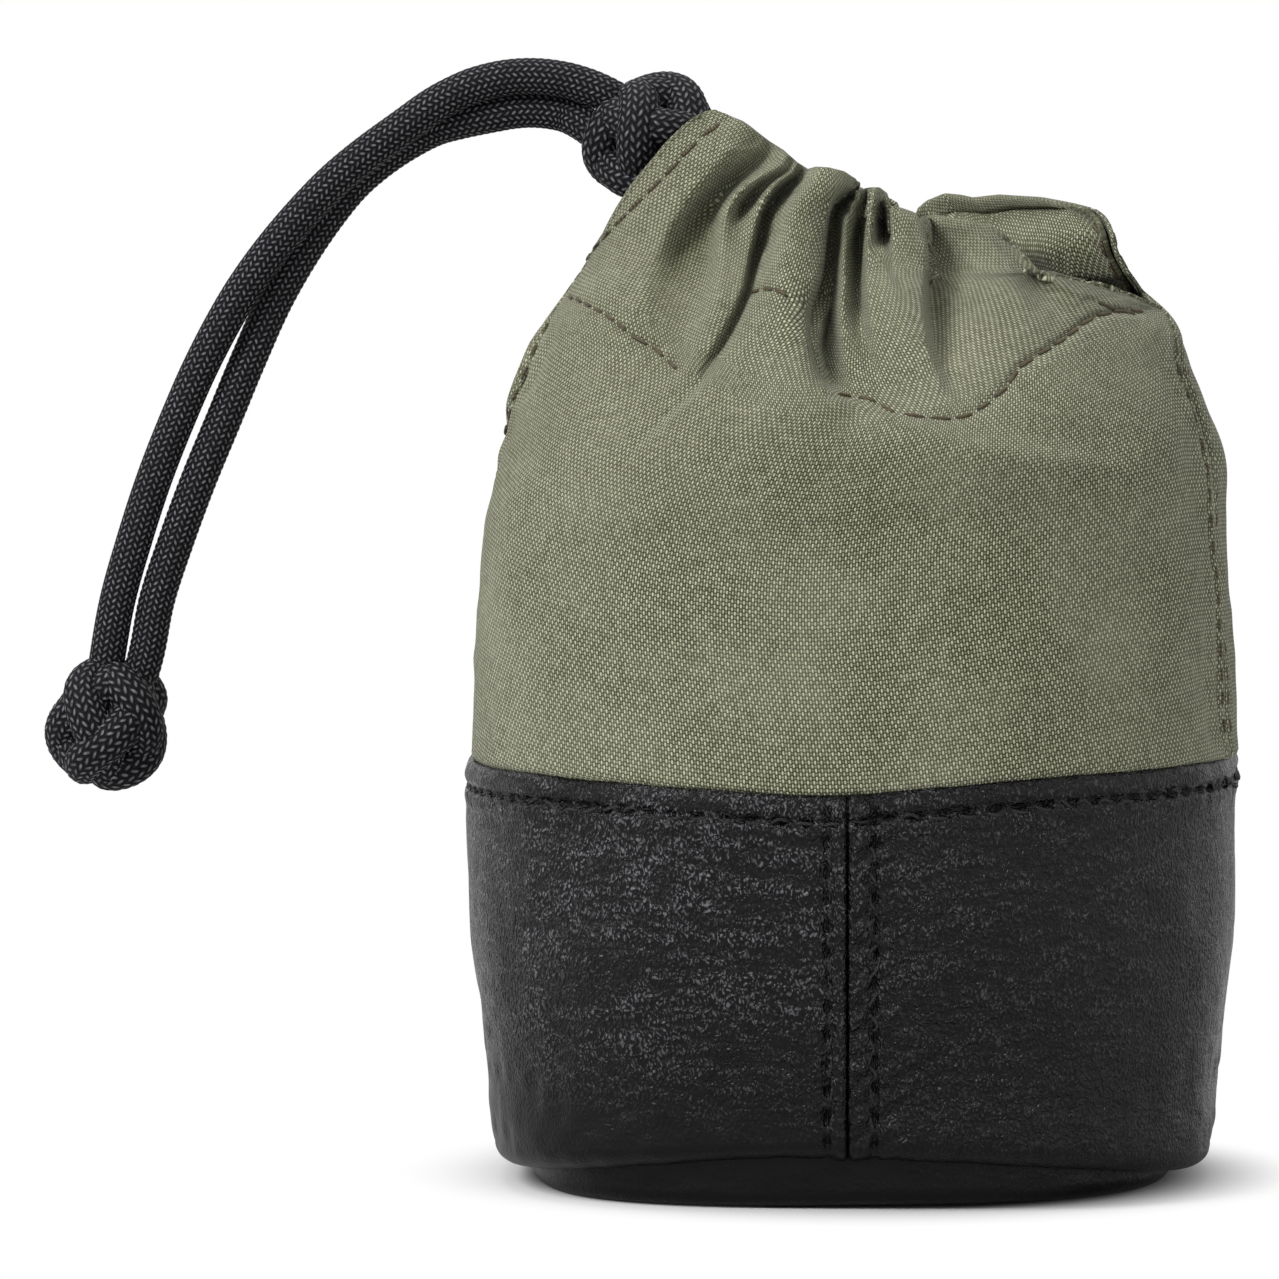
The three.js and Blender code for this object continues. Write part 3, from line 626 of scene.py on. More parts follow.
def thread_finish(name, dark, light):
    """Twisted sewing thread: fine slanting plies, painted darker towards each stitch's ends as painted shade.
    """
    thread = Finish(name, Specular_IOR_Level=0.35)
    around, along, end = thread.parts(thread.stored("braid"))
    ply = ((along * 2.4 + around * 2).fraction() - 0.5).size() * 2
    tone = thread.noise(thread.place(), 1.1)
    lit = thread.colour((ply * 0.95 + tone * 0.6 - 0.35).most(0).least(1), dark, light)
    # Painted shade: the thread darkens towards each stitch's ends, where it dips into the cloth.
    colour = thread.colour(end.step(0.4, 0.9) * 0.85, lit, shade(14, 12, 9))
    return thread.finish_with(Base_Color=colour, Roughness=0.62 - ply * 0.1, Normal=thread.bump(ply, 0.05))


def foam_finish():
    foam = Finish("grey_foam", Specular_IOR_Level=0.15)
    place = foam.place()
    holes = foam.cells(place, 0.7).step(0.1, 0.6)
    tone = foam.noise(place, 5.0)
    # Painted shade: the pores are painted darker than the foam around them.
    colour = foam.colour((holes * 0.7 + tone * 0.3).least(1), shade(112, 112, 108), shade(164, 164, 159))
    return foam.finish_with(Base_Color=colour, Roughness=0.94 - holes * 0.04, Normal=foam.bump(holes, 0.2))


def board_finish():
    board = Finish("fibre_board", Specular_IOR_Level=0.25)
    place = board.place()
    fibres = board.noise(board.stretched(place, (1.6, 0.25, 1)), 0.6, 4.0)
    tone = board.noise(place, 6.0)
    colour = board.colour((fibres * 0.8 + tone * 0.25).least(1), shade(82, 67, 49), shade(132, 113, 88))
    return board.finish_with(Base_Color=colour, Roughness=0.88 - fibres * 0.1, Normal=board.bump(fibres, 0.1))


leather_material = leather_finish()
braid_material = braid_finish()
thread_materials = {
    "black_thread": thread_finish("black_thread", shade(4, 4, 5), shade(30, 30, 32)),
    "brown_thread": thread_finish("brown_thread", shade(28, 22, 13), shade(114, 102, 75)),
}
foam_material = foam_finish()
board_material = board_finish()


# Drawcord and knots
def smooth_route(points, closed=False, steps=40):
    """The centripetal curve through points, with its own steps between each two."""
    points = np.array(points, float)
    if closed:
        points = np.concatenate([points[-1:], points, points[:2]])
    else:
        first, last = 2 * points[0] - points[1], 2 * points[-1] - points[-2]
        points = np.concatenate([[first], points, [last]])
    found = []
    share = np.linspace(0, 1, steps, endpoint=False)[:, None]
    for before, start, end, after in zip(points, points[1:], points[2:], points[3:]):
        corners = ((before, start), (start, end), (end, after))
        lead, span, tail = [math.sqrt(np.linalg.norm(b - a)) for a, b in corners]
        middle = (end - start) / span
        leave = (start - before) / lead - (end - before) / (lead + span) + middle
        reach = middle - (after - start) / (span + tail) + (after - end) / tail
        found.append(smooth_between(share, span, start, end, leave, reach))
    route = np.concatenate(found)
    return route if closed else np.concatenate([route, points[-2:-1]])


def even_route(route, step, closed=False):
    """The same route with points an even step apart, and its length."""
    if closed:
        route = np.concatenate([route, route[:1]])
    along = lengths_along(route)
    count = max(8, round(along[-1] / step))
    points = read_line(route, along, np.linspace(0, along[-1], count + 1))
    return (points[:-1] if closed else points), along[-1]


def route_frames(points, closed=False):
    """Directions beside a route that turn with it and never twist."""
    if closed:
        tangents = np.roll(points, -1, axis=0) - np.roll(points, 1, axis=0)
    else:
        tangents = np.gradient(points, axis=0)
    tangents = unit(tangents)
    sides = [unit(np.cross(tangents[0], [0, 1, 0.01]))]
    for tangent in tangents[1:]:
        sides.append(unit(sides[-1] - tangent * (sides[-1] @ tangent)))
    sides = np.array(sides)
    if closed:
        arrive = sides[-1] - tangents[0] * (sides[-1] @ tangents[0])
        slip = math.atan2(np.cross(arrive, sides[0]) @ tangents[0], arrive @ sides[0])
        turn = (slip * np.arange(len(points)) / len(points))[:, None]
        sides = sides * np.cos(turn) + np.cross(tangents, sides) * np.sin(turn)
    return tangents, sides, np.cross(tangents, sides)


def braid_crown(around, along):
    """Height of the braid's floats, from 0 in the gaps to 1 on the crowns."""
    first = along / BRAID_PITCH + around * BRAID_STRANDS
    second = along / BRAID_PITCH - around * BRAID_STRANDS
    leans_back = (np.floor(first) - np.floor(second)) % 4 >= 2
    across = np.where(leans_back, second % 1, first % 1) * 2 - 1
    length = np.where(leans_back, first - np.floor(second) - 2, second - np.floor(first) + 1) % 4 - 1
    return (1 - across ** 2) * (1 - 0.6 * length ** 2)


def braided_tube(name, route, width, body, around=72, step=0.2, closed=False):
    """A braided cord along a route."""
    points, length = even_route(route, step, closed)
    tangents, sides, ups = route_frames(points, closed)
    rows = len(points)
    steps = rows if closed else rows - 1
    whole = max(1, round(length / BRAID_PITCH)) * BRAID_PITCH if closed else length
    rows_along = np.arange(rows) * whole / steps
    share = np.arange(around) / around
    grid_along, grid_around = np.meshgrid(rows_along, share, indexing="ij")
    radius = 0.5 * width - 0.09 + 0.13 * braid_crown(grid_around, grid_along)
    angle = TURN * share[None, :, None]
    ring = sides[:, None] * np.cos(angle) + ups[:, None] * np.sin(angle)
    grid = points[:, None] + ring * radius[..., None]
    faces = join_grid(steps + 1, around, wrap=True)
    if closed:
        faces = faces % (rows * around)
    vertices = grid.reshape(-1, 3)
    corner_around = np.stack([grid_around, grid_around + 1 / around] * 2, axis=-1)[..., [0, 1, 3, 2]]
    next_along = np.append(rows_along, rows_along[-1] + rows_along[1])[1:, None]
    next_along = next_along + 0 * grid_along
    corner_along = np.stack([grid_along, grid_along, next_along, next_along], axis=-1)
    corners = np.stack([corner_around, corner_along, 0 * corner_along], axis=-1)
    face_list = faces.tolist()
    corner_list = corners[:steps].reshape(-1, 3)
    if not closed:
        for row, tip in ((0, points[0]), (rows - 1, points[-1])):
            middle = len(vertices)
            vertices = np.concatenate([vertices, [tip]])
            for column in range(around):
                pair = [row * around + column, row * around + (column + 1) % around]
                face_list.append([middle, *(pair[::-1] if row == 0 else pair)])
                tip_corners = np.tile([column / around, rows_along[row], 0], (3, 1))
                corner_list = np.concatenate([corner_list, tip_corners])
    piece = make_piece(name, vertices, face_list, braid_material, body)
    store(piece, "braid", corner_list, "CORNER")
    return piece, points, length


ARCH_CENTRE = np.array([-36.1, 0, 102.7])
UPPER_ARCH_RADIUS = 18.9
CORD_PITCH = CORD_WIDTH + CORD_GAP
LOWER_ARCH_RADIUS = UPPER_ARCH_RADIUS - CORD_PITCH
MIDDLE_ARCH_RADIUS = UPPER_ARCH_RADIUS - 0.5 * CORD_PITCH
ARCH_START = 79
ARCH_STEP = 8
UPPER_TAIL = [
    [-10.3, 0, 15.9], [-14.3, 0, 13.1], [-18.3, 0, 10.2], [-21.9, 0, 7.2], [-26.2, 0, 2.7],
    [-29.7, 0, -1.6], [-32.7, 0, -6], [-36.3, 0, -12.6], [-39.3, 0, -19.3], [-41.9, 0, -25.9],
    [-44.1, 0, -32.6], [-46, 0, -39.3], [-47.1, 0, -45.3], [-48, 0.3, -51.5],
]
LOWER_TAIL = [
    [-5.7, 2.2, 14.4], [-8.1, 2.8, 13.9], [-10.7, 3.7, 13.2], [-13.9, 4.3, 11.6],
    [-17.3, 4.4, 9.3], [-20.1, 4.3, 6.8], [-23.2, 3.9, 2.9], [-26.1, 3.4, -1.5],
    [-28.7, 2.9, -6.2], [-31.5, 1.9, -12.6], [-34.2, 0.8, -19.3], [-36.9, 0, -25.9],
    [-39.4, 0, -32.6], [-41.6, 0, -39.3], [-42.8, 0, -45.3], [-44.6, -0.3, -51.5],
]
END_KNOT = [-47, 0, -53.1]
FRONT_LEAD = [[19.1, -1, -1], [19.4, -4.2, -2.6], [20.9, -8.7, -3.1], [24.5, -12.9, -2.9]]
BACK_LEAD = [[14.9, 1.2, -1.4], [15.8, 5, -2.9], [18.7, 9.4, -3.2], [23.5, 13, -2.9]]


def arch_point(radius, degrees, shift=0):
    """A point of an arch, and as far behind and outwards of it as the shift says."""
    angle = math.radians(degrees)
    reach = radius + 0.32 * shift
    return ARCH_CENTRE + (reach * math.sin(angle), shift, reach * math.cos(angle))


def arch_points(radius, start, end, shift):
    """Points of an arch that leaves its plane once it is past the sliding knot."""
    angles = [*np.arange(start, end, -ARCH_STEP), end]
    return [arch_point(radius, angle, shift * smoothstep(-angle, -34, -12)) for angle in angles]


def from_arch(route):
    return [ARCH_CENTRE + place for place in np.array(route, float)]


def add_tail(name, radius, straight_angle, route, shift=0):
    whole = smooth_route([*arch_points(radius, ARCH_START, straight_angle, shift), *from_arch(route)])
    piece, points, length = braided_tube(f"{name}_cord_braid", whole, CORD_WIDTH, None)
    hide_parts(f"{name}_cord_arch", f"{name}_cord_bend", f"{name}_cord_tail")
    return piece, points, length


upper_cord, upper_route, upper_length = add_tail("upper", UPPER_ARCH_RADIUS, -22, UPPER_TAIL)
lower_cord, lower_route, lower_length = add_tail("lower", LOWER_ARCH_RADIUS, -12, LOWER_TAIL, shift=1.9)

STRAND_WIDTH = 4.6
SLIDER_RADIUS = 8.3
SLIDER_HALF_LENGTH = 7
SLIDER_ANGLE = 50
SLIDER_STANDS_OUT = 1.3
END_KNOT_RADIUS = 7.3
END_KNOT_HALF_LENGTH = 7.2
END_KNOT_TILT = 14
LEADS = 3
BIGHTS = 4


def knot_route(radius, half_length):
    """The strand of a woven knot of three leads and four bights, about +Z."""
    strand = 0.5 * STRAND_WIDTH
    place = np.linspace(0, TURN, 240, endpoint=False)
    height = (half_length - strand) * np.cos(BIGHTS * place)
    belly = np.sqrt(1 - 0.75 * (height / (half_length - strand)) ** 2)
    weave = 0.25 * strand
    reach = (radius - strand) * belly - weave + weave * np.sin(2 * BIGHTS * place)
    return np.stack([reach * np.cos(LEADS * place), reach * np.sin(LEADS * place), height], axis=1)


def turn_about_y(points, degrees):
    cos, sin = math.cos(math.radians(degrees)), math.sin(math.radians(degrees))
    across, deep, up = points.T
    return np.stack([across * cos + up * sin, deep, up * cos - across * sin], axis=1)


def add_knot(node, radius, half_length, tilt, centre, body):
    route = turn_about_y(knot_route(radius, half_length), tilt) + centre
    piece, _, _ = braided_tube(f"{node}_strand", route, STRAND_WIDTH, body, closed=True)
    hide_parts(node)
    return piece


slider_centre = arch_point(MIDDLE_ARCH_RADIUS + SLIDER_STANDS_OUT, SLIDER_ANGLE)
end_knot_centre = from_arch([END_KNOT])[0]
slider_size = (SLIDER_RADIUS, SLIDER_HALF_LENGTH, 90 + SLIDER_ANGLE)
end_knot_size = (END_KNOT_RADIUS, END_KNOT_HALF_LENGTH, END_KNOT_TILT)
slider_knot = add_knot("sliding_knot", *slider_size, slider_centre, "slider")
end_knot = add_knot("end_knot", *end_knot_size, end_knot_centre, "tails")


def declare_tail(piece):
    """One tail hangs from the collar to the end knot; this bakes its placement into its mesh."""
    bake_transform(piece)


declare_tail(upper_cord)
declare_tail(lower_cord)


def inset_body(share, height, side, depth):
    """A point under the body's outer surface, square to it."""
    nudge = 0.004
    here = body_point(share, height, side)
    after, before = np.clip(share + nudge, 0, 1), np.clip(share - nudge, 0, 1)
    over = body_point(after, height, side) - body_point(before, height, side)
    up = body_point(share, height + 0.3, side) - body_point(share, height - 0.3, side)
    return here - unit(np.cross(over, up)) * (-side * np.asarray(depth))[..., None]


CORD_DEPTH = 4.2
CHANNEL_START = 0.42
CORD_SAG = 7.2


def add_loop():
    """The held part of the drawcord, round the inside of the collar. It hangs lower at the right slit."""
    channel = []
    half_turns = np.linspace(CHANNEL_START, 1, 13)
    for side, turns in ((FRONT, half_turns), (BACK, half_turns[::-1][1:])):
        heights = CORD_LEVEL - CORD_SAG * smoothstep(turns, 0.76, 0.97)
        shares = turn_to_share(turns * math.pi, heights)
        channel.extend(inset_body(shares, heights, side, np.full(len(turns), CORD_DEPTH)))
    foot_angles = (ARCH_START + math.degrees(CORD_GAP / UPPER_ARCH_RADIUS), ARCH_START + ARCH_STEP)
    feet = lambda radius: [arch_point(radius, angle) for angle in foot_angles]
    stops = [
        *feet(UPPER_ARCH_RADIUS), *from_arch(FRONT_LEAD), *channel, *from_arch(BACK_LEAD)[::-1],
        *feet(LOWER_ARCH_RADIUS)[::-1],
    ]
    piece, _, _ = braided_tube("drawcord_loop_braid", smooth_route(stops), CORD_WIDTH, "pouch")
    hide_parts("drawcord_loop")


add_loop()


# Crests and hollows of the front's gathers, from left to right as the photograph shows them.
# A row is pixels down, pixels across, and rise in millimetres towards the viewer.
PLEATS = [
    ("left border", 0, [(96, 450, 0), (540, 440, 0)]),
    ("stiff hem of the slit", 0, [
        (110, 706, 0.5), (130, 690, 0.6), (160, 658, 0.7), (215, 618, 0.7), (262, 588, 0.5),
        (300, 572, 0.3), (360, 545, 0), (480, 500, 0), (540, 480, 0),
    ]),
    ("soft middle of the left flap", 0, [
        (125, 742, 0.9), (145, 728, 1.2), (165, 712, 1.4), (190, 692, 1.5), (225, 667, 1.4),
        (262, 648, 1.1), (300, 632, 0.8), (340, 612, 0.5), (400, 582, 0.2), (480, 550, 0), (540, 520, 0),
    ]),
    ("hollow before the tucks", 0, [
        (120, 760, 0.4), (140, 766, -0.1), (150, 766, -0.8), (168, 747, -2), (186, 729, -3.2),
        (205, 714, -3.8), (228, 703, -3.9), (260, 697, -3.7), (292, 691, -3.2), (325, 683, -2.4),
        (365, 668, -1.5), (400, 648, -0.8), (430, 622, -0.4), (480, 580, 0), (540, 550, 0),
    ]),
    ("first tuck", 0, [
        (130, 782, 0.8), (152, 794, 1), (161, 786, 1.4), (170, 772, 1.8), (181, 754, 2), (191, 741, 2.1),
        (200, 733, 2.1), (216, 726, 2), (235, 723, 1.9), (254, 722, 1.7), (273, 722, 1.5), (292, 720, 1.2),
        (311, 716, 0.9), (335, 708, 0.5), (355, 698, 0.1), (380, 684, -0.5), (400, 662, -0.8),
        (430, 634, -0.4), (480, 590, 0), (540, 560, 0),
    ]),
    ("dimple between the tucks", 0, [
        (150, 800, 1), (168, 790, 0.8), (175, 780, 0.2), (182, 766, -0.6), (191, 756, -1.4),
        (202, 747, -1.6), (210, 741, -0.8), (222, 738, 0.6), (240, 738, 1.4), (260, 737, 1.3),
        (285, 733, 1.1), (310, 727, 0.8), (335, 717, 0.4), (360, 702, -0.1), (385, 688, -0.6),
        (402, 666, -0.8), (430, 638, -0.4), (480, 594, 0), (540, 564, 0),
    ]),
    ("second tuck", 0, [
        (150, 806, 1.2), (168, 800, 1.6), (177, 785, 2), (187, 774, 2.1), (198, 766, 2), (214, 759, 1.8),
        (227, 756, 1.6), (250, 750, 1.4), (269, 746, 1.2), (292, 741, 0.9), (306, 735, 0.6),
        (325, 726, 0.2), (345, 714, -0.1), (365, 702, -0.5), (385, 690, -0.7), (404, 668, -0.8),
        (430, 642, -0.4), (480, 598, 0), (540, 568, 0),
    ]),
    ("slot before the broad pleat", 0, [
        (150, 810, 1.2), (166, 808, 0.6), (175, 800, -0.6), (185, 788, -1.8), (195, 777, -2.4),
        (205, 769, -2.6), (218, 764, -2.6), (235, 760, -2.6), (254, 755, -2.6), (271, 751, -2.6),
        (292, 746, -2.4), (307, 740, -2.2), (327, 731, -1.8), (347, 720, -1.5), (367, 706, -1.2),
        (387, 693, -1), (406, 672, -0.9), (432, 646, -0.5), (480, 602, 0), (540, 572, 0),
    ]),
    ("broad pleat's left rim", 0, [
        (150, 815, 1.6), (164, 814, 1.6), (175, 806, 0.8), (187, 796, 0), (197, 785, -0.2),
        (208, 777, -0.2), (222, 771, 0), (240, 767, 0.1), (258, 762, 0.2), (275, 758, 0.3), (292, 753, 0.4),
        (308, 748, 0.6), (328, 740, 0.9), (348, 730, 1.2), (368, 718, 1.3), (388, 703, 1.2),
        (408, 684, 0.9), (434, 658, 0.5), (480, 616, 0.2), (540, 580, 0),
    ]),
    ("broad pleat's crest", 0, [
        (150, 832, 2.6), (165, 830, 3.6), (175, 826, 4.2), (187, 812, 4.6), (202, 802, 4.8),
        (219, 794, 4.8), (239, 790, 4.8), (258, 787, 4.7), (277, 785, 4.6), (292, 784, 4.4), (311, 786, 4),
        (330, 789, 3.7), (360, 795, 3.3), (390, 804, 3), (420, 820, 2.7), (450, 842, 2.2), (490, 862, 1.2),
        (540, 880, 0),
    ]),
    ("broad pleat's right rim", 1, [
        (160, 850, 3), (172, 858, 3.2), (184, 860, 3.2), (190, 850, 3.2), (197, 838, 3.2), (206, 831, 3.2),
        (227, 826, 3), (242, 824, 2.9), (262, 821, 2.7), (281, 817, 2.5), (292, 812, 2.4), (306, 806, 2.5),
        (321, 805, 2.7), (340, 807, 2.8), (359, 811, 2.6), (376, 818, 2.2), (388, 828, 1.8),
        (398, 842, 1.5),
    ]),
    ("shade behind the broad pleat", 1, [
        (170, 862, 2.5), (184, 864, 1.5), (190, 856, -0.2), (199, 842, -1.8), (209, 835, -2.2),
        (227, 831, -2.4), (242, 829, -2.4), (262, 827, -3), (281, 824, -4.5), (296, 821, -5.5),
        (311, 818, -6), (330, 817, -6), (350, 818, -5.6), (369, 823, -4.4), (384, 832, -2.6),
        (396, 848, -0.6),
    ]),
    ("tube's left foot", 1, [
        (170, 864, 2.2), (186, 865, 1.2), (193, 859, 0.2), (202, 846, -0.6), (212, 839, -1),
        (230, 836, -1.4), (250, 834, -1.6), (270, 832, -2), (292, 831, -2.8), (311, 829, -3.4),
        (330, 830, -3.6), (350, 833, -3.2), (369, 838, -2.2), (388, 848, -0.8), (400, 860, 0.2),
    ]),
    ("curled tube", 1, [
        (170, 866, 2.4), (182, 868, 2.6), (190, 863, 2.8), (202, 853, 2.6), (219, 846, 2.4),
        (235, 844, 2.2), (254, 843, 2), (273, 842, 1.6), (292, 842, 1.2), (311, 841, 0.6), (330, 842, 0.2),
        (350, 845, 0), (369, 849, 0), (388, 858, 0.2), (402, 868, 0.6),
    ]),
    ("tube's right rim", 1, [
        (172, 868, 2.4), (184, 870, 2.4), (193, 867, 2), (206, 860, 1.4), (219, 855, 1.2), (235, 852, 1),
        (254, 851, 0.8), (273, 850, 0.6), (292, 849, 0.2), (311, 849, -0.2), (330, 852, -0.4),
        (350, 857, -0.4), (372, 864, -0.2), (392, 874, 0.2),
    ]),
    ("slot beside the tube", 1, [
        (174, 870, 2), (186, 871, 1), (197, 869, -0.6), (212, 864, -2), (227, 861, -2.4), (244, 859, -2.4),
        (264, 858, -2.6), (283, 857, -2.8), (302, 858, -2.4), (321, 860, -1.8), (340, 863, -1.2),
        (370, 871, -0.6), (392, 882, 0),
    ]),
    ("hooked pleat's left tube", 1, [
        (178, 876, 3), (187, 876, 3.8), (197, 873, 4), (212, 871, 4), (227, 870, 4), (244, 869, 3.8),
        (264, 868, 3.2), (283, 868, 2.6), (302, 870, 2), (321, 872, 1.5), (340, 876, 1.1), (365, 883, 0.7),
        (392, 894, 0.2),
    ]),
    ("hooked pleat's slit", 1, [
        (180, 882, 3.2), (192, 882, 3.2), (200, 882, 2.4), (208, 883, 0), (217, 884, -1.4),
        (232, 885, -1.4), (240, 885, 0.4), (250, 886, 3.2), (270, 887, 3.1), (300, 889, 2.5),
        (330, 893, 1.7), (360, 899, 0.9), (392, 908, 0.2),
    ]),
    ("flat pleat", 1, [
        (182, 890, 3.2), (200, 890, 3.4), (212, 891, 3.6), (240, 894, 3.8), (262, 896, 3.7),
        (285, 899, 3.4), (310, 903, 2.8), (335, 908, 2), (360, 914, 1.1), (392, 922, 0.1),
    ]),
    ("flat pleat's right rim", 1, [
        (195, 916, 2.6), (207, 921, 2.8), (219, 925, 3), (235, 926, 3), (254, 925.5, 3), (273, 925, 2.8),
        (292, 925, 2.6), (311, 925.5, 2.3), (330, 927, 1.8), (350, 930, 1.2), (365, 935, 0.7),
        (385, 943, 0.1),
    ]),
    ("slot before the smooth flap", 1, [
        (200, 924, 2), (212, 927, 0.4), (222, 929, -1.4), (235, 930.5, -2), (254, 931, -2.4),
        (273, 931, -3.2), (292, 930.5, -4), (311, 930.5, -4.2), (330, 932, -3.6), (350, 935, -2.6),
        (365, 940, -1.8), (385, 949, -0.8),
    ]),
    ("smooth flap's left side", 1, [
        (205, 932, 1.4), (216, 937, 0.6), (235, 941, -0.9), (254, 944, -1.7), (273, 947, -2.3),
        (292, 949, -2.5), (311, 951, -2.2), (330, 953, -1.7), (350, 956, -1.2), (370, 961, -0.8),
        (388, 968, -0.4),
    ]),
    ("smooth flap's middle", 0.9, [
        (205, 958, 1.4), (220, 962, 1.3), (240, 967, 0.9), (260, 972, 0.5), (280, 977, 0.2),
        (300, 981, 0.1), (320, 985, 0), (345, 990, 0), (370, 996, 0), (390, 1003, 0.1),
    ]),
    ("smooth flap's crest", 0.6, [
        (205, 985, 1.2), (225, 988, 1.5), (240, 996, 1.8), (260, 1005, 2), (280, 1013, 1.8),
        (300, 1021, 1.4), (320, 1029, 1), (340, 1037, 0.7), (370, 1048, 0.4), (396, 1054, 0.4),
    ]),
    ("nick in the edge", 0.4, [
        (230, 1003, 1), (245, 1014, 0.8), (262, 1026, 0.2), (276, 1034, -0.8), (288, 1040, -1.3),
        (300, 1048, -0.7), (315, 1058, -0.1), (340, 1068, 0.2), (370, 1078, 0.2), (396, 1084, 0.3),
    ]),
    ("second lobe", 0.2, [
        (260, 1060, 0.8), (284, 1066, 1), (294, 1082, 1.2), (304, 1098, 1.1), (314, 1112, 0.8),
        (340, 1120, 0.3), (370, 1128, 0.2), (396, 1132, 0.2),
    ]),
    ("right shoulder", 0, [
        (284, 1130, 0.3), (314, 1160, 0.3), (340, 1170, 0.6), (360, 1172, 0.8), (392, 1178, 0.4),
        (440, 1190, 0.2), (480, 1200, 0), (540, 1210, 0),
    ]),
    ("right border", 0, [(96, 1310, 0), (540, 1310, 0)]),
]
# The cloth rolls out below the hem: pixels down, pixels to the right of a pleat's foot, and rise
ROLL_UNDER_HEM = [(424, 8, 1.5), (445, 13, 2), (482, 17, 1.4), (530, 20, 0), (540, 20, 0)]
PLEATS_TOP, PLEATS_BOTTOM = 96, 540
PLEATS_LEFT, PLEATS_RIGHT = 440, 1320


def gentle_slopes(places, values):
    """Slopes that let a curve pass its points without overshooting them."""
    steps = np.diff(values, axis=0) / np.diff(places, axis=0)
    before, after = steps[:-1], steps[1:]
    same = before * after > 0
    total = np.where(same, before + after, 1)
    middle = np.where(same, 2 * before * after / total, 0)
    return np.concatenate([steps[:1], middle, steps[-1:]])


def draw_pleats():
    """Rise of the gathers at each pixel of their part of the photograph."""
    downs = np.arange(PLEATS_TOP, PLEATS_BOTTOM + 1)
    overs = np.arange(PLEATS_LEFT, PLEATS_RIGHT + 1)
    lines = []
    for _, roll, rows in PLEATS:
        rows = list(rows)
        if roll:
            foot = rows[-1][1]
            rows += [(down, foot + right, rise * roll) for down, right, rise in ROLL_UNDER_HEM]
        lines.append(SmoothTable(rows)(downs.astype(float)))
    lines = np.array(lines)
    apart = 0.6 * np.arange(len(lines))
    picture = np.zeros((len(downs), len(overs)))
    for row in range(len(downs)):
        places = np.maximum.accumulate(lines[:, row, 0] - apart) + apart
        rises = lines[:, row, 1]
        slopes = gentle_slopes(places, rises)
        low = np.clip(np.searchsorted(places, overs) - 1, 0, len(places) - 2)
        span = places[low + 1] - places[low]
        share = np.clip((overs - places[low]) / span, 0, 1)
        picture[row] = smooth_between(share, span, rises[low], rises[low + 1], slopes[low], slopes[low + 1])
    return soften(picture, 2)


PLEAT_PICTURE = draw_pleats()


def pleat_rise(across, down):
    inside = (down > PLEATS_TOP) & (down < PLEATS_BOTTOM)
    rise = read_grid(PLEAT_PICTURE, down - PLEATS_TOP, across - PLEATS_LEFT)
    return np.where(inside | (down < PLEATS_TOP), rise, 0)


# Smaller folds. A row is pixels across and down, rise, and half widths in pixels to the left and right.
SMALL_FOLDS = [
    ("crease beside the tongue", [
        (794, 189, -0.2, 2, 2), (785, 203, -0.7, 2, 2), (776, 221, -0.9, 2, 2), (769, 240, -0.9, 2, 2),
        (764, 252, -0.3, 2, 2),
    ]),
    ("hole in the curled tube", [(846, 204, -1.5, 3, 3), (847, 210, -1.5, 3, 3)]),
    ("crease under the peak", [(727, 149, 0.3, 3, 3), (748, 150, 0.5, 3, 3), (766, 145, 0.3, 3, 3)]),
    ("fold under the hem", [
        (800, 370, 0.1, 24, 8), (830, 391, 0.9, 26, 9), (870, 411, 1.3, 28, 9), (950, 440, 1.6, 30, 10),
        (1050, 461, 1.5, 32, 11), (1120, 470, 1.1, 32, 12), (1165, 474, 0, 32, 12),
    ]),
    ("hollow over that fold", [
        (880, 394, 0, 12, 12), (950, 417, -0.7, 14, 16), (1050, 437, -1, 16, 22), (1140, 446, 0, 16, 20),
    ]),
    ("dent by the right seam", [(1186, 470, 0, 12, 12), (1196, 510, -1.1, 15, 15), (1190, 560, 0, 14, 14)]),
    ("welt by the right seam", [
        (1180, 385, 0, 7, 7), (1205, 425, 0.7, 7, 7), (1217, 480, 0.8, 7, 7), (1215, 560, 0.6, 7, 7),
        (1214, 640, 0, 7, 7),
    ]),
    ("dent over the hem", [(950, 380, -0.9, 7, 8), (957, 391, -0.5, 8, 8)]),
    ("pull below the peak", [(690, 165, -0.3, 10, 10), (655, 215, -0.4, 12, 12), (630, 265, -0.2, 12, 12)]),
    ("left shoulder", [
        (690, 400, 0.3, 24, 80), (650, 440, 0.8, 26, 84), (600, 474, 0.6, 30, 80), (556, 500, 0, 34, 70),
    ]),
    ("right corner", [
        (1136, 318, 0.3, 16, 20), (1160, 330, 0.8, 18, 20), (1176, 352, 0.8, 18, 20),
        (1186, 392, 0.3, 16, 20),
    ]),
]


def round_out(rows, pieces=8):
    """A drawn line with more, smoother points between its own."""
    rows = np.array(rows, float)
    table = SmoothTable(np.concatenate([np.arange(len(rows))[:, None], rows], axis=1))
    return table(np.linspace(0, len(rows) - 1, pieces * (len(rows) - 1) + 1))


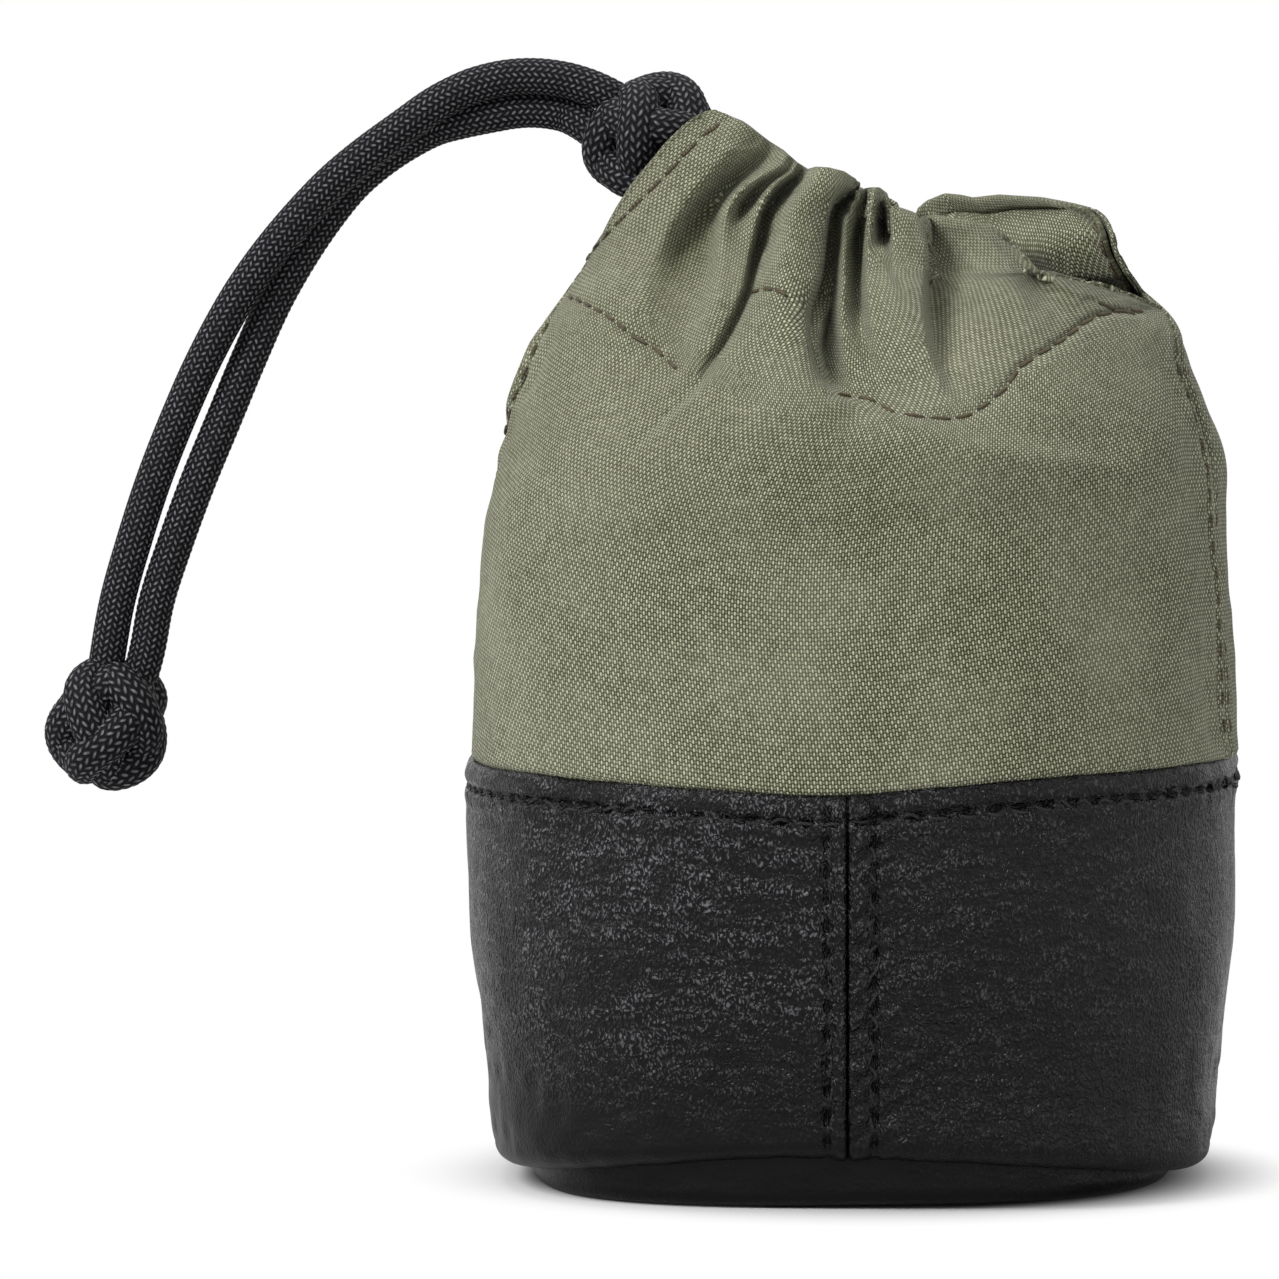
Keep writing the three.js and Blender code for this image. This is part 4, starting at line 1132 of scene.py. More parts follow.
def fold_rise(across, down, folds):
    """How far the cloth stands towards the viewer at places in the photograph."""
    total = np.zeros_like(across)
    for _, rows in folds:
        line = round_out(rows)
        reach = 2.4 * max(line[:, 3].max(), line[:, 4].max())
        near = (across > line[:, 0].min() - reach) & (across < line[:, 0].max() + reach)
        near &= (down > line[:, 1].min() - reach) & (down < line[:, 1].max() + reach)
        spot = np.stack([across[near], down[near]], axis=1)
        best = np.full(len(spot), np.inf)
        rise = np.zeros(len(spot))
        for start, end in zip(line, line[1:]):
            way = end[:2] - start[:2]
            share = np.clip((spot - start[:2]) @ way / (way @ way), 0, 1)
            offset = spot - (start[:2] + share[:, None] * way)
            distance = np.hypot(offset[:, 0], offset[:, 1])
            right = way[1] * offset[:, 0] - way[0] * offset[:, 1] > 0
            here = mix(start, end, share[:, None])
            width = np.where(right, here[:, 4], here[:, 3])
            found = here[:, 2] * bell(distance, width)
            closer = distance < best
            best = np.where(closer, distance, best)
            rise = np.where(closer, found, rise)
        total[near] += rise
    return total


# Edges of the front flap in the photograph: up the slit, along the top, and down the other slit
TOP_ROLL = 1.2
FRONT_SLIT_LEFT = [
    (567, 291), (585, 259), (602, 230), (616, 204), (631, 182), (649, 161), (668, 139), (690, 119),
    (703, 112),
]
FRONT_TOP = [
    (703, 112), (712, 110), (722, 114), (736, 121), (748, 130), (762, 139), (778, 149), (792, 161),
    (803, 168), (812, 166), (826, 167), (842, 171), (853, 178), (859, 189), (868, 187), (879, 187),
    (886, 192), (891, 205), (903, 207), (916, 211), (923, 217), (930, 214), (940, 213), (955, 217),
    (975, 222), (992, 226), (1003, 236),
]
FRONT_SLIT_RIGHT = [
    (1146, 313), (1123, 305), (1100, 295), (1078, 288), (1056, 283), (1040, 283), (1030, 278), (1020, 262),
    (1011, 247), (1003, 236),
]
BACK_TOP = [
    [-0.6, 0.44], [-0.43, 0.5], [-0.25, 0.47], [0, 0.385], [0.2, 0.385], [0.235, 0.4], [0.255, 0.435],
    [0.275, 0.465], [0.33, 0.5], [0.385, 0.495], [0.43, 0.484], [0.53, 0.506], [0.686, 0.503], [0.77, 0.487],
    [0.82, 0.47],
]
BACK_SLIT_LEFT = [[-1, 0], [-0.93, 0.08], [-0.84, 0.2], [-0.74, 0.34], [-0.66, 0.41], [-0.6, 0.44]]
BACK_SLIT_RIGHT = [
    [1, 0], [0.955, 0.08], [0.93, 0.16], [0.915, 0.25], [0.895, 0.35], [0.865, 0.43], [0.82, 0.47],
]
SLIT_HALF_WIDTH = 32.26


def shares_of_edge(rows):
    """Edge points, as shares of the slit's width and height, on the body's surface."""
    rows = np.array(rows, float)
    across, height = rows[:, 0] * SLIT_HALF_WIDTH, mix(SLIT_FOOT, PEAK, rows[:, 1])
    return turn_to_share(np.arctan2(outline_depth(across, height), -across), height), height


def spread(line, count):
    """A line of shares and heights with evenly spread points."""
    share, height = line
    points = np.stack([np.array(share) * 100, np.array(height)], axis=1)
    along = lengths_along(points)
    return read_line(points, along, np.linspace(0, along[-1], count)) / (100, 1)


PANEL_COLUMNS = 360
BODY_ROWS = 96
COLLAR_ROWS = 120
CANVAS_FOOT = 43.4
HEM_RISE_LEFT = 13.3
HEM_RISE_RIGHT = 11.7


def hem_height(across):
    rise = np.where(across < 0, HEM_RISE_LEFT, HEM_RISE_RIGHT)
    return HEM_MIDDLE + rise * np.minimum(1, np.abs(across) / SLIT_HALF_WIDTH) ** 1.5


def panel_places(start_edge, top, end_edge, start_seam, end_seam):
    """Places round the pouch and heights of a panel's grid: its body, then its flap of the collar."""
    share = np.linspace(0, 1, PANEL_COLUMNS)
    height = np.full(PANEL_COLUMNS, 90.0)
    for _ in range(16):
        place = mix(start_seam(height), end_seam(height), share)
        height = mix(height, hem_height(around_point(place, height)[:, 0]), 0.5)
    rows = np.linspace(0, 1, BODY_ROWS)[:, None]
    level = mix(CANVAS_FOOT, height, rows)
    body = np.stack([mix(start_seam(level), end_seam(level), share + 0 * level), level], axis=-1)
    hem = body[-1]
    up = np.linspace(0, 1, COLLAR_ROWS)[:, None, None]
    over = share[None, :, None]
    left, right = spread(start_edge, COLLAR_ROWS)[:, None], spread(end_edge, COLLAR_ROWS)[:, None]
    edge = spread(top, PANEL_COLUMNS)
    left = left + (hem[0] - left[0]) * (1 - up)
    right = right + (hem[-1] - right[0]) * (1 - up)
    corners = (1 - up) * mix(hem[0], hem[-1], over) + up * mix(edge[0], edge[-1], over)
    collar = (1 - up) * hem + up * edge + (1 - over) * left + over * right - corners
    return np.concatenate([body, collar[1:]])


SIDE_PITCH = 2.85
SIDE_ROW_OFFSET = 2


def seam_ridge(from_start, from_end, height):
    """The raised side seams, with a groove at the join and pulled cloth beside the stitches."""
    rise = np.zeros_like(height)
    for distance, seed in ((from_start, 3), (from_end, 4)):
        welt = 0.35 * bell(distance, 2.1, 4) - 0.6 * bell(distance, 0.45)
        row = -0.5 * bell(distance - SIDE_ROW_OFFSET, 0.5) * (0.7 + 0.3 * np.cos(TURN * height / SIDE_PITCH))
        ridge = 0.55 * bell(distance - 4.2, 1.3) * (0.7 + 0.5 * soft_noise(distance * 0.3, height, 5, seed))
        pull = bell(distance - 6.5, 3.6) * soft_noise(distance * 0.5, height, 2.5, seed + 2)
        rise += welt + row + ridge + 0.4 * pull - 0.4 * bell(distance, 8, 4)
    return rise * smoothstep(height, 45, 49)


def canvas_relief(base, height, side, across_mm):
    """Soft dents of the padded wall, and small creases."""
    calm = 1 - smoothstep(height, HEM_MIDDLE, SLIT_FOOT)
    broad = 0.5 * soft_noise(across_mm, height, 17, 11 + side)
    broad = broad + 0.26 * soft_noise(across_mm, height, 8, 13 + side)
    fine = 0.055 * soft_noise(across_mm, height, 2.6, 17 + side)
    drawn_in = 1.1 * bell(height - 80.5, 5) * smoothstep(-base[..., 0], 28, 38)
    filled = (0.8 * bell(height - 80, 5) + 1.1 * bell(height - 94.5, 3)) * smoothstep(base[..., 0], 26, 35)
    return broad * mix(0.25, 1, calm) * smoothstep(height, 46, 54) + fine - drawn_in + filled - 0.15


# Stitch rows on the front, drawn on the photograph
HEM_ROUTES = [
    [(567, 296), (592, 307), (616, 322), (634, 338), (653, 348), (673, 366), (690, 377)],
    [(749, 294), (766, 289), (783, 293), (792, 305)],
    [(830, 394), (870, 400), (896, 413), (943, 419), (971, 414), (1005, 389), (1021, 367), (1061, 341),
     (1090, 320), (1114, 312), (1146, 311)],
]
SLIT_ROUTE_LEFT = [(729, 117), (699, 140), (668, 173), (647, 194), (621, 220), (597, 246), (578, 276)]
SLIT_ROUTE_RIGHT = [(1088, 299), (1106, 306), (1124, 312), (1144, 317)]


def press_rows(across, down, routes, depth, width):
    """Cloth drawn in along its stitches."""
    folds = [("row", [(*place, -depth, width, width) for place in route]) for route in routes]
    return fold_rise(across, down, folds)


PLEAT_STRENGTH = 1.3


# The rim of the cup is lowest at its seams. A row is the turn from the left side, and the rise.
RIM_LIFTS = SmoothTable([
    [0, 1.4], [0.4, 1.3], [0.8, 1.25], [1.2, 0.5], [1.55, 0], [1.8, 0.9], [2.1, 1.8], [2.4, 2.2], [2.8, 2.2],
    [math.pi, 1.7],
])
HIGHEST_RIM_LIFT = 2.2


def rim_lift(turn):
    """The rise of the rim over its lowest place."""
    return RIM_LIFTS(turn)[..., 0]


def canvas_depth(height, lift):
    """The canvas goes straight down behind the rim of the cup."""
    over_rim = height - RIM - lift
    tucked = CANVAS_DEPTH_IN_CUP * (1 - smoothstep(over_rim, -1.2, 0.9))
    return np.maximum(tucked, 0.5 * (1 - smoothstep(over_rim, 1, 15)))


class Panel:
    """One canvas panel: its unfolded grid, how far it stands out, and its cloth's own measure."""

    def __init__(self, places, side):
        self.side = side
        self.height = places[..., 1]
        self.base = around_point(places[..., 0], self.height)
        over = np.gradient(self.base, axis=1)
        flat = np.stack([over[..., 1], -over[..., 0], 0 * over[..., 0]], axis=-1)
        self.out = unit(flat)
        along = lengths_along(self.base, 1)
        self.from_start = along
        self.from_end = along[:, -1:] - along
        self.view = np.array([0, -1, 0]) if side == FRONT else self.out
        self.folds = self.draw_folds()
        turn = np.arctan2(np.abs(self.base[..., 1]), -self.base[..., 0])
        depth = canvas_depth(self.height, rim_lift(turn))
        dents = canvas_relief(self.base, self.height, side, along)
        seams = seam_ridge(self.from_start, self.from_end, self.height)
        seams = seams * (1 - smoothstep(self.height, SLIT_FOOT - 5, SLIT_FOOT))
        moved = self.out * (dents + seams - depth)[..., None] + self.view * self.folds[..., None]
        self.points = self.base + moved

    def draw_folds(self):
        """How far the pleats and small folds stand out, or in, at each point."""
        across, down = to_pixels(self.base)
        if self.side == FRONT:
            rise = PLEAT_STRENGTH * pleat_rise(across, down) + fold_rise(across, down, SMALL_FOLDS)
            rise += press_rows(across, down, HEM_ROUTES, 0.8, 4)
            rise += press_rows(across, down, [SLIT_ROUTE_LEFT, SLIT_ROUTE_RIGHT], 0.5, 3.6)
        else:
            drop = mix(10, 70, smoothstep(self.height, HEM_MIDDLE, 108))
            mirrored = 2 * POUCH_CENTRE_PIXEL - across
            rise = 0.7 * pleat_rise(mirrored, down - drop) * smoothstep(self.base[..., 1], 1, 8)
        deepest = mix(-8.5, -3.2, bell(self.height - CORD_LEVEL, 5.5, 4))
        rise = np.where(rise < 0, deepest * np.tanh(rise / deepest), rise)
        edge = smoothstep(np.minimum(self.from_start, self.from_end), 0, 5)
        return soften(rise * edge, 1)


UP_WEIGHT = 2.0


def relax(over, up):
    """Values on a grid whose steps over and up come as near as they can to the wanted ones."""
    rows, columns = len(over), up.shape[1]
    pull = np.zeros((rows, columns))
    pull[:, 1:] += over
    pull[:, :-1] -= over
    pull[1:] += UP_WEIGHT * up
    pull[:-1] -= UP_WEIGHT * up
    mirrored = np.concatenate([pull, pull[::-1]])
    mirrored = np.concatenate([mirrored, mirrored[:, ::-1]], axis=1)
    waves = lambda count: 2 - 2 * np.cos(TURN * np.fft.fftfreq(count))
    stiffness = UP_WEIGHT * waves(2 * rows)[:, None] + waves(2 * columns)[None]
    stiffness[0, 0] = 1
    return np.fft.ifft2(np.fft.fft2(mirrored) / stiffness).real[:rows, :columns]


def cloth_measure(points):
    """Where each point lies on the flat cloth, with its threads as straight as the folds allow."""
    over = np.linalg.norm(np.diff(points, axis=1), axis=-1)
    up = np.linalg.norm(np.diff(points, axis=0), axis=-1)
    return relax(over, 0 * up), relax(0 * over, up)


def fold_over(lines, direction, inward, radius, steps=6):
    """Rows that turn a sheet's edge over in a half round and then follow the sheet back inside.
    The first line is the edge, and the others lie further into the sheet."""
    angles = np.linspace(0, math.pi, steps + 1)[1:]
    turned = []
    for angle in angles:
        rise, sink = radius * math.sin(angle), radius * (1 - math.cos(angle))
        turned.append(lines[0] + direction * rise + inward[0] * sink)
    return np.array(turned + [line + into * (2 * radius) for line, into in zip(lines[1:], inward[1:])])


EDGE_ROLL = 0.22
ROLL_FADES_OVER = 7
CANVAS_SHEET = 0.5


def add_canvas(name, panel, node):
    """A canvas panel with its top and its side edges turned in."""
    points = panel.points
    across, up = cloth_measure(points)
    ends = np.minimum(lengths_along(points[-1:], 1)[0], lengths_along(points[-1:, ::-1], 1)[0, ::-1])
    radius = mix(EDGE_ROLL, TOP_ROLL, smoothstep(ends, 0, ROLL_FADES_OVER))[:, None]
    direction = unit(smooth_line(unit(panel.base[-1] - panel.base[-8]), 12))
    away = -panel.view if panel.side == FRONT else -panel.out[-1]
    picks = [-1, -6, -11]
    rolled = fold_over([points[pick] for pick in picks], direction, [away] * len(picks), radius)
    grid = np.concatenate([points, rolled])
    extra = np.concatenate([up, up[-1] + lengths_along(np.concatenate([points[-1:], rolled]), 0)[1:]])
    wide = np.pad(across, [(0, len(rolled)), (0, 0)], mode="edge")
    out = np.pad(panel.out, [(0, len(rolled)), (0, 0), (0, 0)], mode="edge")
    columns = []
    measures = []
    top = len(points) - 1
    fade = 1 - smoothstep(np.arange(len(grid)), top - 8, top - 1)[:, None]
    for edge, step in ((0, 1), (-1, -1)):
        outwards = unit(smooth_line(unit(panel.base[:, edge] - panel.base[:, edge + 6 * step]), 12))
        outwards = np.pad(outwards, [(0, len(rolled)), (0, 0)], mode="edge")
        picks = [edge + step * inner for inner in (0, 2, 4, 6)]
        lines = [mix(grid[:, edge], grid[:, pick], fade) for pick in picks]
        turned = fold_over(lines, outwards, [-out[:, pick] for pick in picks], EDGE_ROLL * fade, steps=4)
        distance = lengths_along(np.concatenate([grid[None, :, edge], turned]), 0)[1:]
        columns.append(turned)
        measures.append(wide[:, edge] - step * distance)
    left, right = [np.moveaxis(c, 0, 1) for c in columns]
    left_measure, right_measure = [np.moveaxis(m, 0, 1) for m in measures]
    grid = np.concatenate([left[:, ::-1], grid, right], axis=1)
    wide = np.concatenate([left_measure[:, ::-1], wide, right_measure], axis=1)
    extra = np.pad(extra, [(0, 0), (left.shape[1], right.shape[1])], mode="edge")
    piece = make_piece(name, grid, join_grid(*grid.shape[:2]), canvas_finish)
    store(piece, "cloth", np.stack([wide, extra, 0 * wide], axis=-1))
    thicken(piece, CANVAS_SHEET)
    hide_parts(node)


def lowered(route, drop, reach):
    """A drawn edge with room above it for its roll, which is thin at both ends."""
    across, down = np.array(route, float).T
    ends = np.minimum(across - across[0], across[-1] - across)
    return np.stack([across, down + drop * smoothstep(ends, 0, reach)], axis=1)


SEAM_HALF_GAP = 0.5 * SEAM_GAP


def left_start(height):
    return left_seam_place(height) + SEAM_HALF_GAP / half_round(height)


def right_end(height):
    return right_seam_place(height) - SEAM_HALF_GAP / half_round(height)


def right_start(height):
    return right_seam_place(height) + SEAM_HALF_GAP / half_round(height)


def left_end(height):
    return 2 + left_seam_place(height) - SEAM_HALF_GAP / half_round(height)


def round_the_back(line):
    share, height = line
    return 2 - share[::-1], height[::-1]


front_top = lowered(FRONT_TOP, TOP_ROLL * PIXELS_PER_MM, ROLL_FADES_OVER * PIXELS_PER_MM)
front_places = panel_places(
    pixels_to_shares(FRONT_SLIT_LEFT), pixels_to_shares(front_top), pixels_to_shares(FRONT_SLIT_RIGHT),
    left_start, right_end,
)
back_slit_right, back_slit_left = shares_of_edge(BACK_SLIT_RIGHT), shares_of_edge(BACK_SLIT_LEFT)
back_places = panel_places(
    (2 - back_slit_right[0], back_slit_right[1]), round_the_back(shares_of_edge(BACK_TOP)),
    (2 - back_slit_left[0], back_slit_left[1]), right_start, left_end,
)
front_panel = Panel(front_places, FRONT)
back_panel = Panel(back_places, BACK)
add_canvas("canvas_front", front_panel, "canvas_panel_front")
add_canvas("canvas_back", back_panel, "canvas_panel_back")


# Facings: the inner plies of the collar, round the drawcord
FACING_SHEET = 0.5


def facing_depth(height):
    reach = smoothstep(np.abs(height - CORD_LEVEL), 4.5, 10)
    return mix(7.0, 2.5, reach)


def add_facing(name, panel, node, first, last):
    """The inner ply of a flap, from one share of its width to another."""
    rows = slice(BODY_ROWS + 2, None, 2)
    columns = slice(int(first * PANEL_COLUMNS), int(last * PANEL_COLUMNS), 2)
    height = panel.height[rows, columns]
    near_top = smoothstep(panel.height[-1:, columns] - height, 0, 6)
    edges = np.minimum(panel.from_start[rows, columns], panel.from_end[rows, columns])
    inside_roll = mix(0.95, 1.25, smoothstep(edges, 0, ROLL_FADES_OVER))
    depth = mix(inside_roll, mix(0.95, facing_depth(height), smoothstep(edges, 1.5, 10)), near_top)
    fold = (mix(1, 0.7, near_top) * panel.folds[rows, columns])[..., None]
    out = panel.out[rows, columns]
    grid = panel.base[rows, columns] - out * depth[..., None]
    grid = grid + (panel.view if panel.side == FRONT else out) * fold
    across, up = lengths_along(grid, 1), lengths_along(grid, 0)
    piece = make_piece(name, grid, join_grid(*grid.shape[:2]), canvas_finish)
    store(piece, "cloth", np.stack([across, up, 0 * up], axis=-1))
    thicken(piece, FACING_SHEET)
    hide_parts(node)


add_facing("facing_front", front_panel, "collar_facing_front", 0.36, 0.985)
add_facing("facing_back", back_panel, "collar_facing_back", 0.012, 0.64)

# Leather cup
CREASE_AT_FRONT = 5.4
CREASE_AT_SIDES = 1.5
CREASE_TUCK = 2.6
LEATHER_COLUMNS = 560
LEATHER_ROWS = 140
LEATHER_ROLL = 0.6
LEATHER_SHEET = 0.7
RIM_ROW_DROP = 2.9
SEAM_ROW_LEFT = 2.2
SEAM_ROW_RIGHT = 2.9
STITCH_PITCH = 2.95
BASE_HALF_WIDTH = 35.3
BASE_HALF_DEPTH = 36.1
BASE_SQUARENESS = 3.2
HALF_SEAM_GAP = 0.02
ROLL_ROWS = 14


def base_reach(turn, inset):
    return squared_reach(turn, BASE_HALF_WIDTH - inset, BASE_HALF_DEPTH - inset, BASE_SQUARENESS)


def rim_height(turn):
    """The rim also lifts a little at the side seams."""
    return RIM - 0.1 + rim_lift(turn) + 1.1 * bell(math.pi - turn, 0.22) + 0.25 * bell(turn, 0.25)


class Cup:
    """One half of the leather cup, from the front seam round its side to the back seam."""

    def __init__(self, side_sign):
        self.sign = side_sign
        half = LEATHER_COLUMNS // 2
        front = np.linspace(0.5, 1 if side_sign > 0 else 0, half)
        back = front[::-1][1:]
        front_grid = self.base_half(front, FRONT)
        back_grid = self.base_half(back, BACK)
        self.base = np.concatenate([front_grid, back_grid], axis=1)
        if side_sign < 0:
            self.base = self.base[:, ::-1]
        self.normals = grid_normals(self.base)
        along = lengths_along(self.base, 1)
        along = along if side_sign > 0 else along[:, -1:] - along
        self.from_front = along
        self.from_back = along.max(axis=1, keepdims=True) - along
        self.points = self.base + self.normals * self.relief()[..., None]
        self.points[..., 0] = side_sign * np.maximum(side_sign * self.points[..., 0], HALF_SEAM_GAP)

    def base_half(self, shares, side):
        up = np.linspace(0, 1, LEATHER_ROWS)[:, None]
        turn_low = share_to_turn(shares, np.full(len(shares), 5.0))
        foot = mix(CREASE_AT_SIDES, CREASE_AT_FRONT, np.sin(turn_low) ** 2)[None]
        top = rim_height(turn_low)[None] - LEATHER_ROLL
        height = mix(foot + CREASE_TUCK, top, up)
        turn = share_to_turn(shares[None] + 0 * height, height)
        reach = body_reach(turn, height)
        wall = round_point(reach, turn, height, side)
        angle = np.linspace(0.5 * math.pi, 0, ROLL_ROWS, endpoint=False)[:, None]
        low_turn = turn[:1]
        tray = base_reach(low_turn, -0.4)
        low_reach = reach[:1]
        roll_reach = tray + (low_reach - tray) * np.cos(angle) ** 0.9
        roll_height = foot + CREASE_TUCK * (1 - np.sin(angle))
        roll = round_point(roll_reach, low_turn, roll_height, side)
        return np.concatenate([roll, wall])

    def relief(self):
        """Stitched-in rows, the seam's welt, puckers, and the hide's own softness."""
        height = self.base[..., 2]
        rim_row = height[-1:] + LEATHER_ROLL - RIM_ROW_DROP
        over_row = height - rim_row
        round_cup = self.from_front
        beat = np.cos(TURN * round_cup / STITCH_PITCH)
        rise = 0.3 * bell(over_row - 1.3, 0.8) - 0.85 * bell(over_row, 0.34) * (0.6 - 0.4 * beat)
        rise += 0.26 * bell(over_row + 1.2, 0.9) * (0.8 - 0.2 * beat)
        below = np.exp(np.minimum(over_row + 0.4, 0) / 2.2) * (over_row < -0.4)
        streaks = soft_noise(round_cup, height * 0.25, 0.55, 29)
        streaks = streaks + 0.6 * soft_noise(round_cup, height * 0.3, 1.1, 30)
        rise += 0.1 * below * streaks + 0.05 * streaks * bell(over_row - 2.2, 0.6)
        for distance, offset, seed in (
            (self.from_front, SEAM_ROW_RIGHT if self.sign > 0 else SEAM_ROW_LEFT, 31),
            (self.from_back, SEAM_ROW_LEFT if self.sign > 0 else SEAM_ROW_RIGHT, 37),
        ):
            climb = np.cos(TURN * height / STITCH_PITCH)
            rise += 0.42 * smoothstep(offset - distance, 0.1, 1.3) - 0.8 * bell(distance, 0.17)
            rise -= 0.75 * bell(distance - offset, 0.34) * (0.6 - 0.4 * climb)
            slant = height - 0.75 * distance + 0.7 * soft_noise(distance, height, 6, seed)
            beyond = 0.75 * np.exp(-np.maximum(distance - offset, 0) / 4.2)
            beyond = beyond * smoothstep(distance, offset, offset + 0.8)
            strip = smoothstep(distance, 0.3, 0.9) * (1 - smoothstep(distance, offset - 0.7, offset - 0.2))
            strength = 0.24 if self.sign > 0 else 0.07
            rise += strength * (beyond + strip) * np.cos(TURN * slant / STITCH_PITCH) ** 3
        soft = 0.42 * soft_noise(round_cup, height, 15, 41 + self.sign)
        soft += 0.2 * soft_noise(round_cup, height, 6.5, 43 + self.sign)
        crumple = 0.09 * soft_noise(round_cup, height, 2.2, 47 + self.sign)
        low = 1 - smoothstep(height, 12, 26)
        rise += soft * smoothstep(self.from_front, 2, 10) * smoothstep(self.from_back, 2, 10)
        rise += crumple * (0.5 + low) - 0.35
        slim = 0.6 if self.sign > 0 else 0.35
        rise -= slim * smoothstep(height, 26, 40) * smoothstep(np.abs(self.base[..., 0]), 20, 40)
        return rise * smoothstep(height, CREASE_AT_SIDES, 8)


def add_cup(name, cup, node):
    points = cup.points
    lines = [points[pick] for pick in (-1, -5, -9, -13)]
    inward = [-cup.normals[-1]] * len(lines)
    rolled = fold_over(lines, unit(points[-1] - points[-4]), inward, LEATHER_ROLL)
    grid = np.concatenate([points, rolled])
    sides = []
    for edge in (0, -1):
        into = -np.pad(cup.normals[:, edge], [(0, len(rolled)), (0, 0)], mode="edge")
        turned = np.array([grid[:, edge] + into * depth for depth in (0.5, 1.2)])
        sides.append(np.moveaxis(turned, 0, 1))
    grid = np.concatenate([sides[0][:, ::-1], grid, sides[1]], axis=1)
    piece = make_piece(name, grid, join_grid(*grid.shape[:2]), leather_material)
    thicken(piece, LEATHER_SHEET)
    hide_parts(node)


left_cup, right_cup = Cup(-1), Cup(1)
add_cup("leather_left", left_cup, "leather_panel_left")
add_cup("leather_right", right_cup, "leather_panel_right")


def ring_stack(rings, columns):
    """Closed round forms from rings of height and inset from the base's outline."""
    turns = np.linspace(0, TURN, columns, endpoint=False)
    rows = []
    for height, inset in rings:
        reach = base_reach(turns, inset)
        rows.append(np.stack([reach * np.cos(turns), reach * np.sin(turns), height + 0 * turns], axis=1))
    return np.array(rows), turns


def close_stack(grid):
    """Faces of stacked rings, closed over at both ends."""
    rows, columns = grid.shape[:2]
    faces = join_grid(rows, columns, wrap=True).tolist()
    points = grid.reshape(-1, 3)
    first, last = points[:columns].mean(axis=0), points[-columns:].mean(axis=0)
    points = np.concatenate([points, [first, last]])
    for column in range(columns):
        after = (column + 1) % columns
        faces.append([rows * columns, after, column])
        start = (rows - 1) * columns
        faces.append([rows * columns + 1, start + column, start + after])
    return points, faces


def edge_rounding(radius, low, inset, up, steps=7):
    """Rings that round an edge off, at the foot of a wall or at its top."""
    angles = np.linspace(0, 0.5 * math.pi, steps)
    if up:
        return [(low - radius + radius * math.sin(a), inset + radius * (1 - math.cos(a))) for a in angles]
    return [(low + radius - radius * math.cos(a), inset + radius * (1 - math.sin(a))) for a in angles]


TRAY_WALL = 7
TRAY_EDGE = 1.8
# The tray's first rings lie under it and up its outer face.
TRAY_OUTER_RINGS = 24


def add_tray():
    rings = [(0, 24), (0, 12), (0, 5), *edge_rounding(TRAY_EDGE, 0, 0, False)]
    rings += [(height, 0) for height in np.linspace(2.2, 6.3, 12)]
    rings += edge_rounding(0.6, TRAY_WALL, 0, True)[1:]
    rings += [(TRAY_WALL - 0.3, LEATHER), (4, LEATHER), (LEATHER + 0.6, LEATHER), (LEATHER, LEATHER + 0.8)]
    rings += [(LEATHER, 6), (LEATHER, 16)]
    grid, turns = ring_stack(rings, 300)
    order = np.arange(len(rings))[:, None]
    wall = smoothstep(grid[..., 2], 0.6, 2.2) * (order < TRAY_OUTER_RINGS)
    along = lengths_along(grid, 1)
    crumple = 0.16 * soft_noise(along, grid[..., 2], 5, 53)
    crumple = crumple + 0.07 * soft_noise(along, grid[..., 2], 1.8, 59)
    seam = smoothstep(np.abs(turns - math.pi), 2.9, 3.1)
    outward = unit(grid * (1, 1, 0))
    grid = grid + outward * (wall * crumple * (1 - seam))[..., None]
    lifted = 0.7 * smoothstep(grid[..., 0], -22, 32) * (1 - smoothstep(grid[..., 2], 0.5, 6))
    grid[..., 2] += lifted * ((order > 1) & (order < TRAY_OUTER_RINGS))
    points, faces = close_stack(grid)
    piece = make_piece("base_tray_leather", points, faces, leather_material)
    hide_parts("base_tray")


add_tray()


# Inside: foam, lining and board
def add_base_foam():
    rings = [(3.5, 24), (3.5, 12), *[(h, i + 3.4) for h, i in edge_rounding(1.6, 3.5, 0, False)]]
    rings += [(h, i + 3.4) for h, i in edge_rounding(1.7, 7.5, 0, True)]
    rings += [(7.75, 10), (8.1, 18), (8.25, 26)]
    grid, _ = ring_stack(rings, 160)
    grid[..., 2] += 0.12 * soft_noise(grid[..., 0], grid[..., 1], 7, 61) * (grid[..., 2] > 6)
    points, faces = close_stack(grid)
    piece = make_piece("base_foam", points, faces, foam_material)
    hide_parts("base_pad")


add_base_foam()

FOAM_INNER = 6.8
FOAM_LOW = 7.8
FOAM_HIGH = 79.6


def ring_of_body(heights, depths, columns):
    """Rings round the whole pouch under its outer surface."""
    shares = np.linspace(0, 1, columns // 2, endpoint=False)
    rows = []
    for height, depth in zip(heights, depths):
        level = np.full(len(shares), float(height))
        inset = np.full(len(shares), float(depth))
        front = inset_body(shares, level, FRONT, inset)
        back = inset_body(1 - shares, level, BACK, inset)
        row = np.concatenate([front, back])
        row[:, 2] = height
        rows.append(row)
    return np.array(rows)


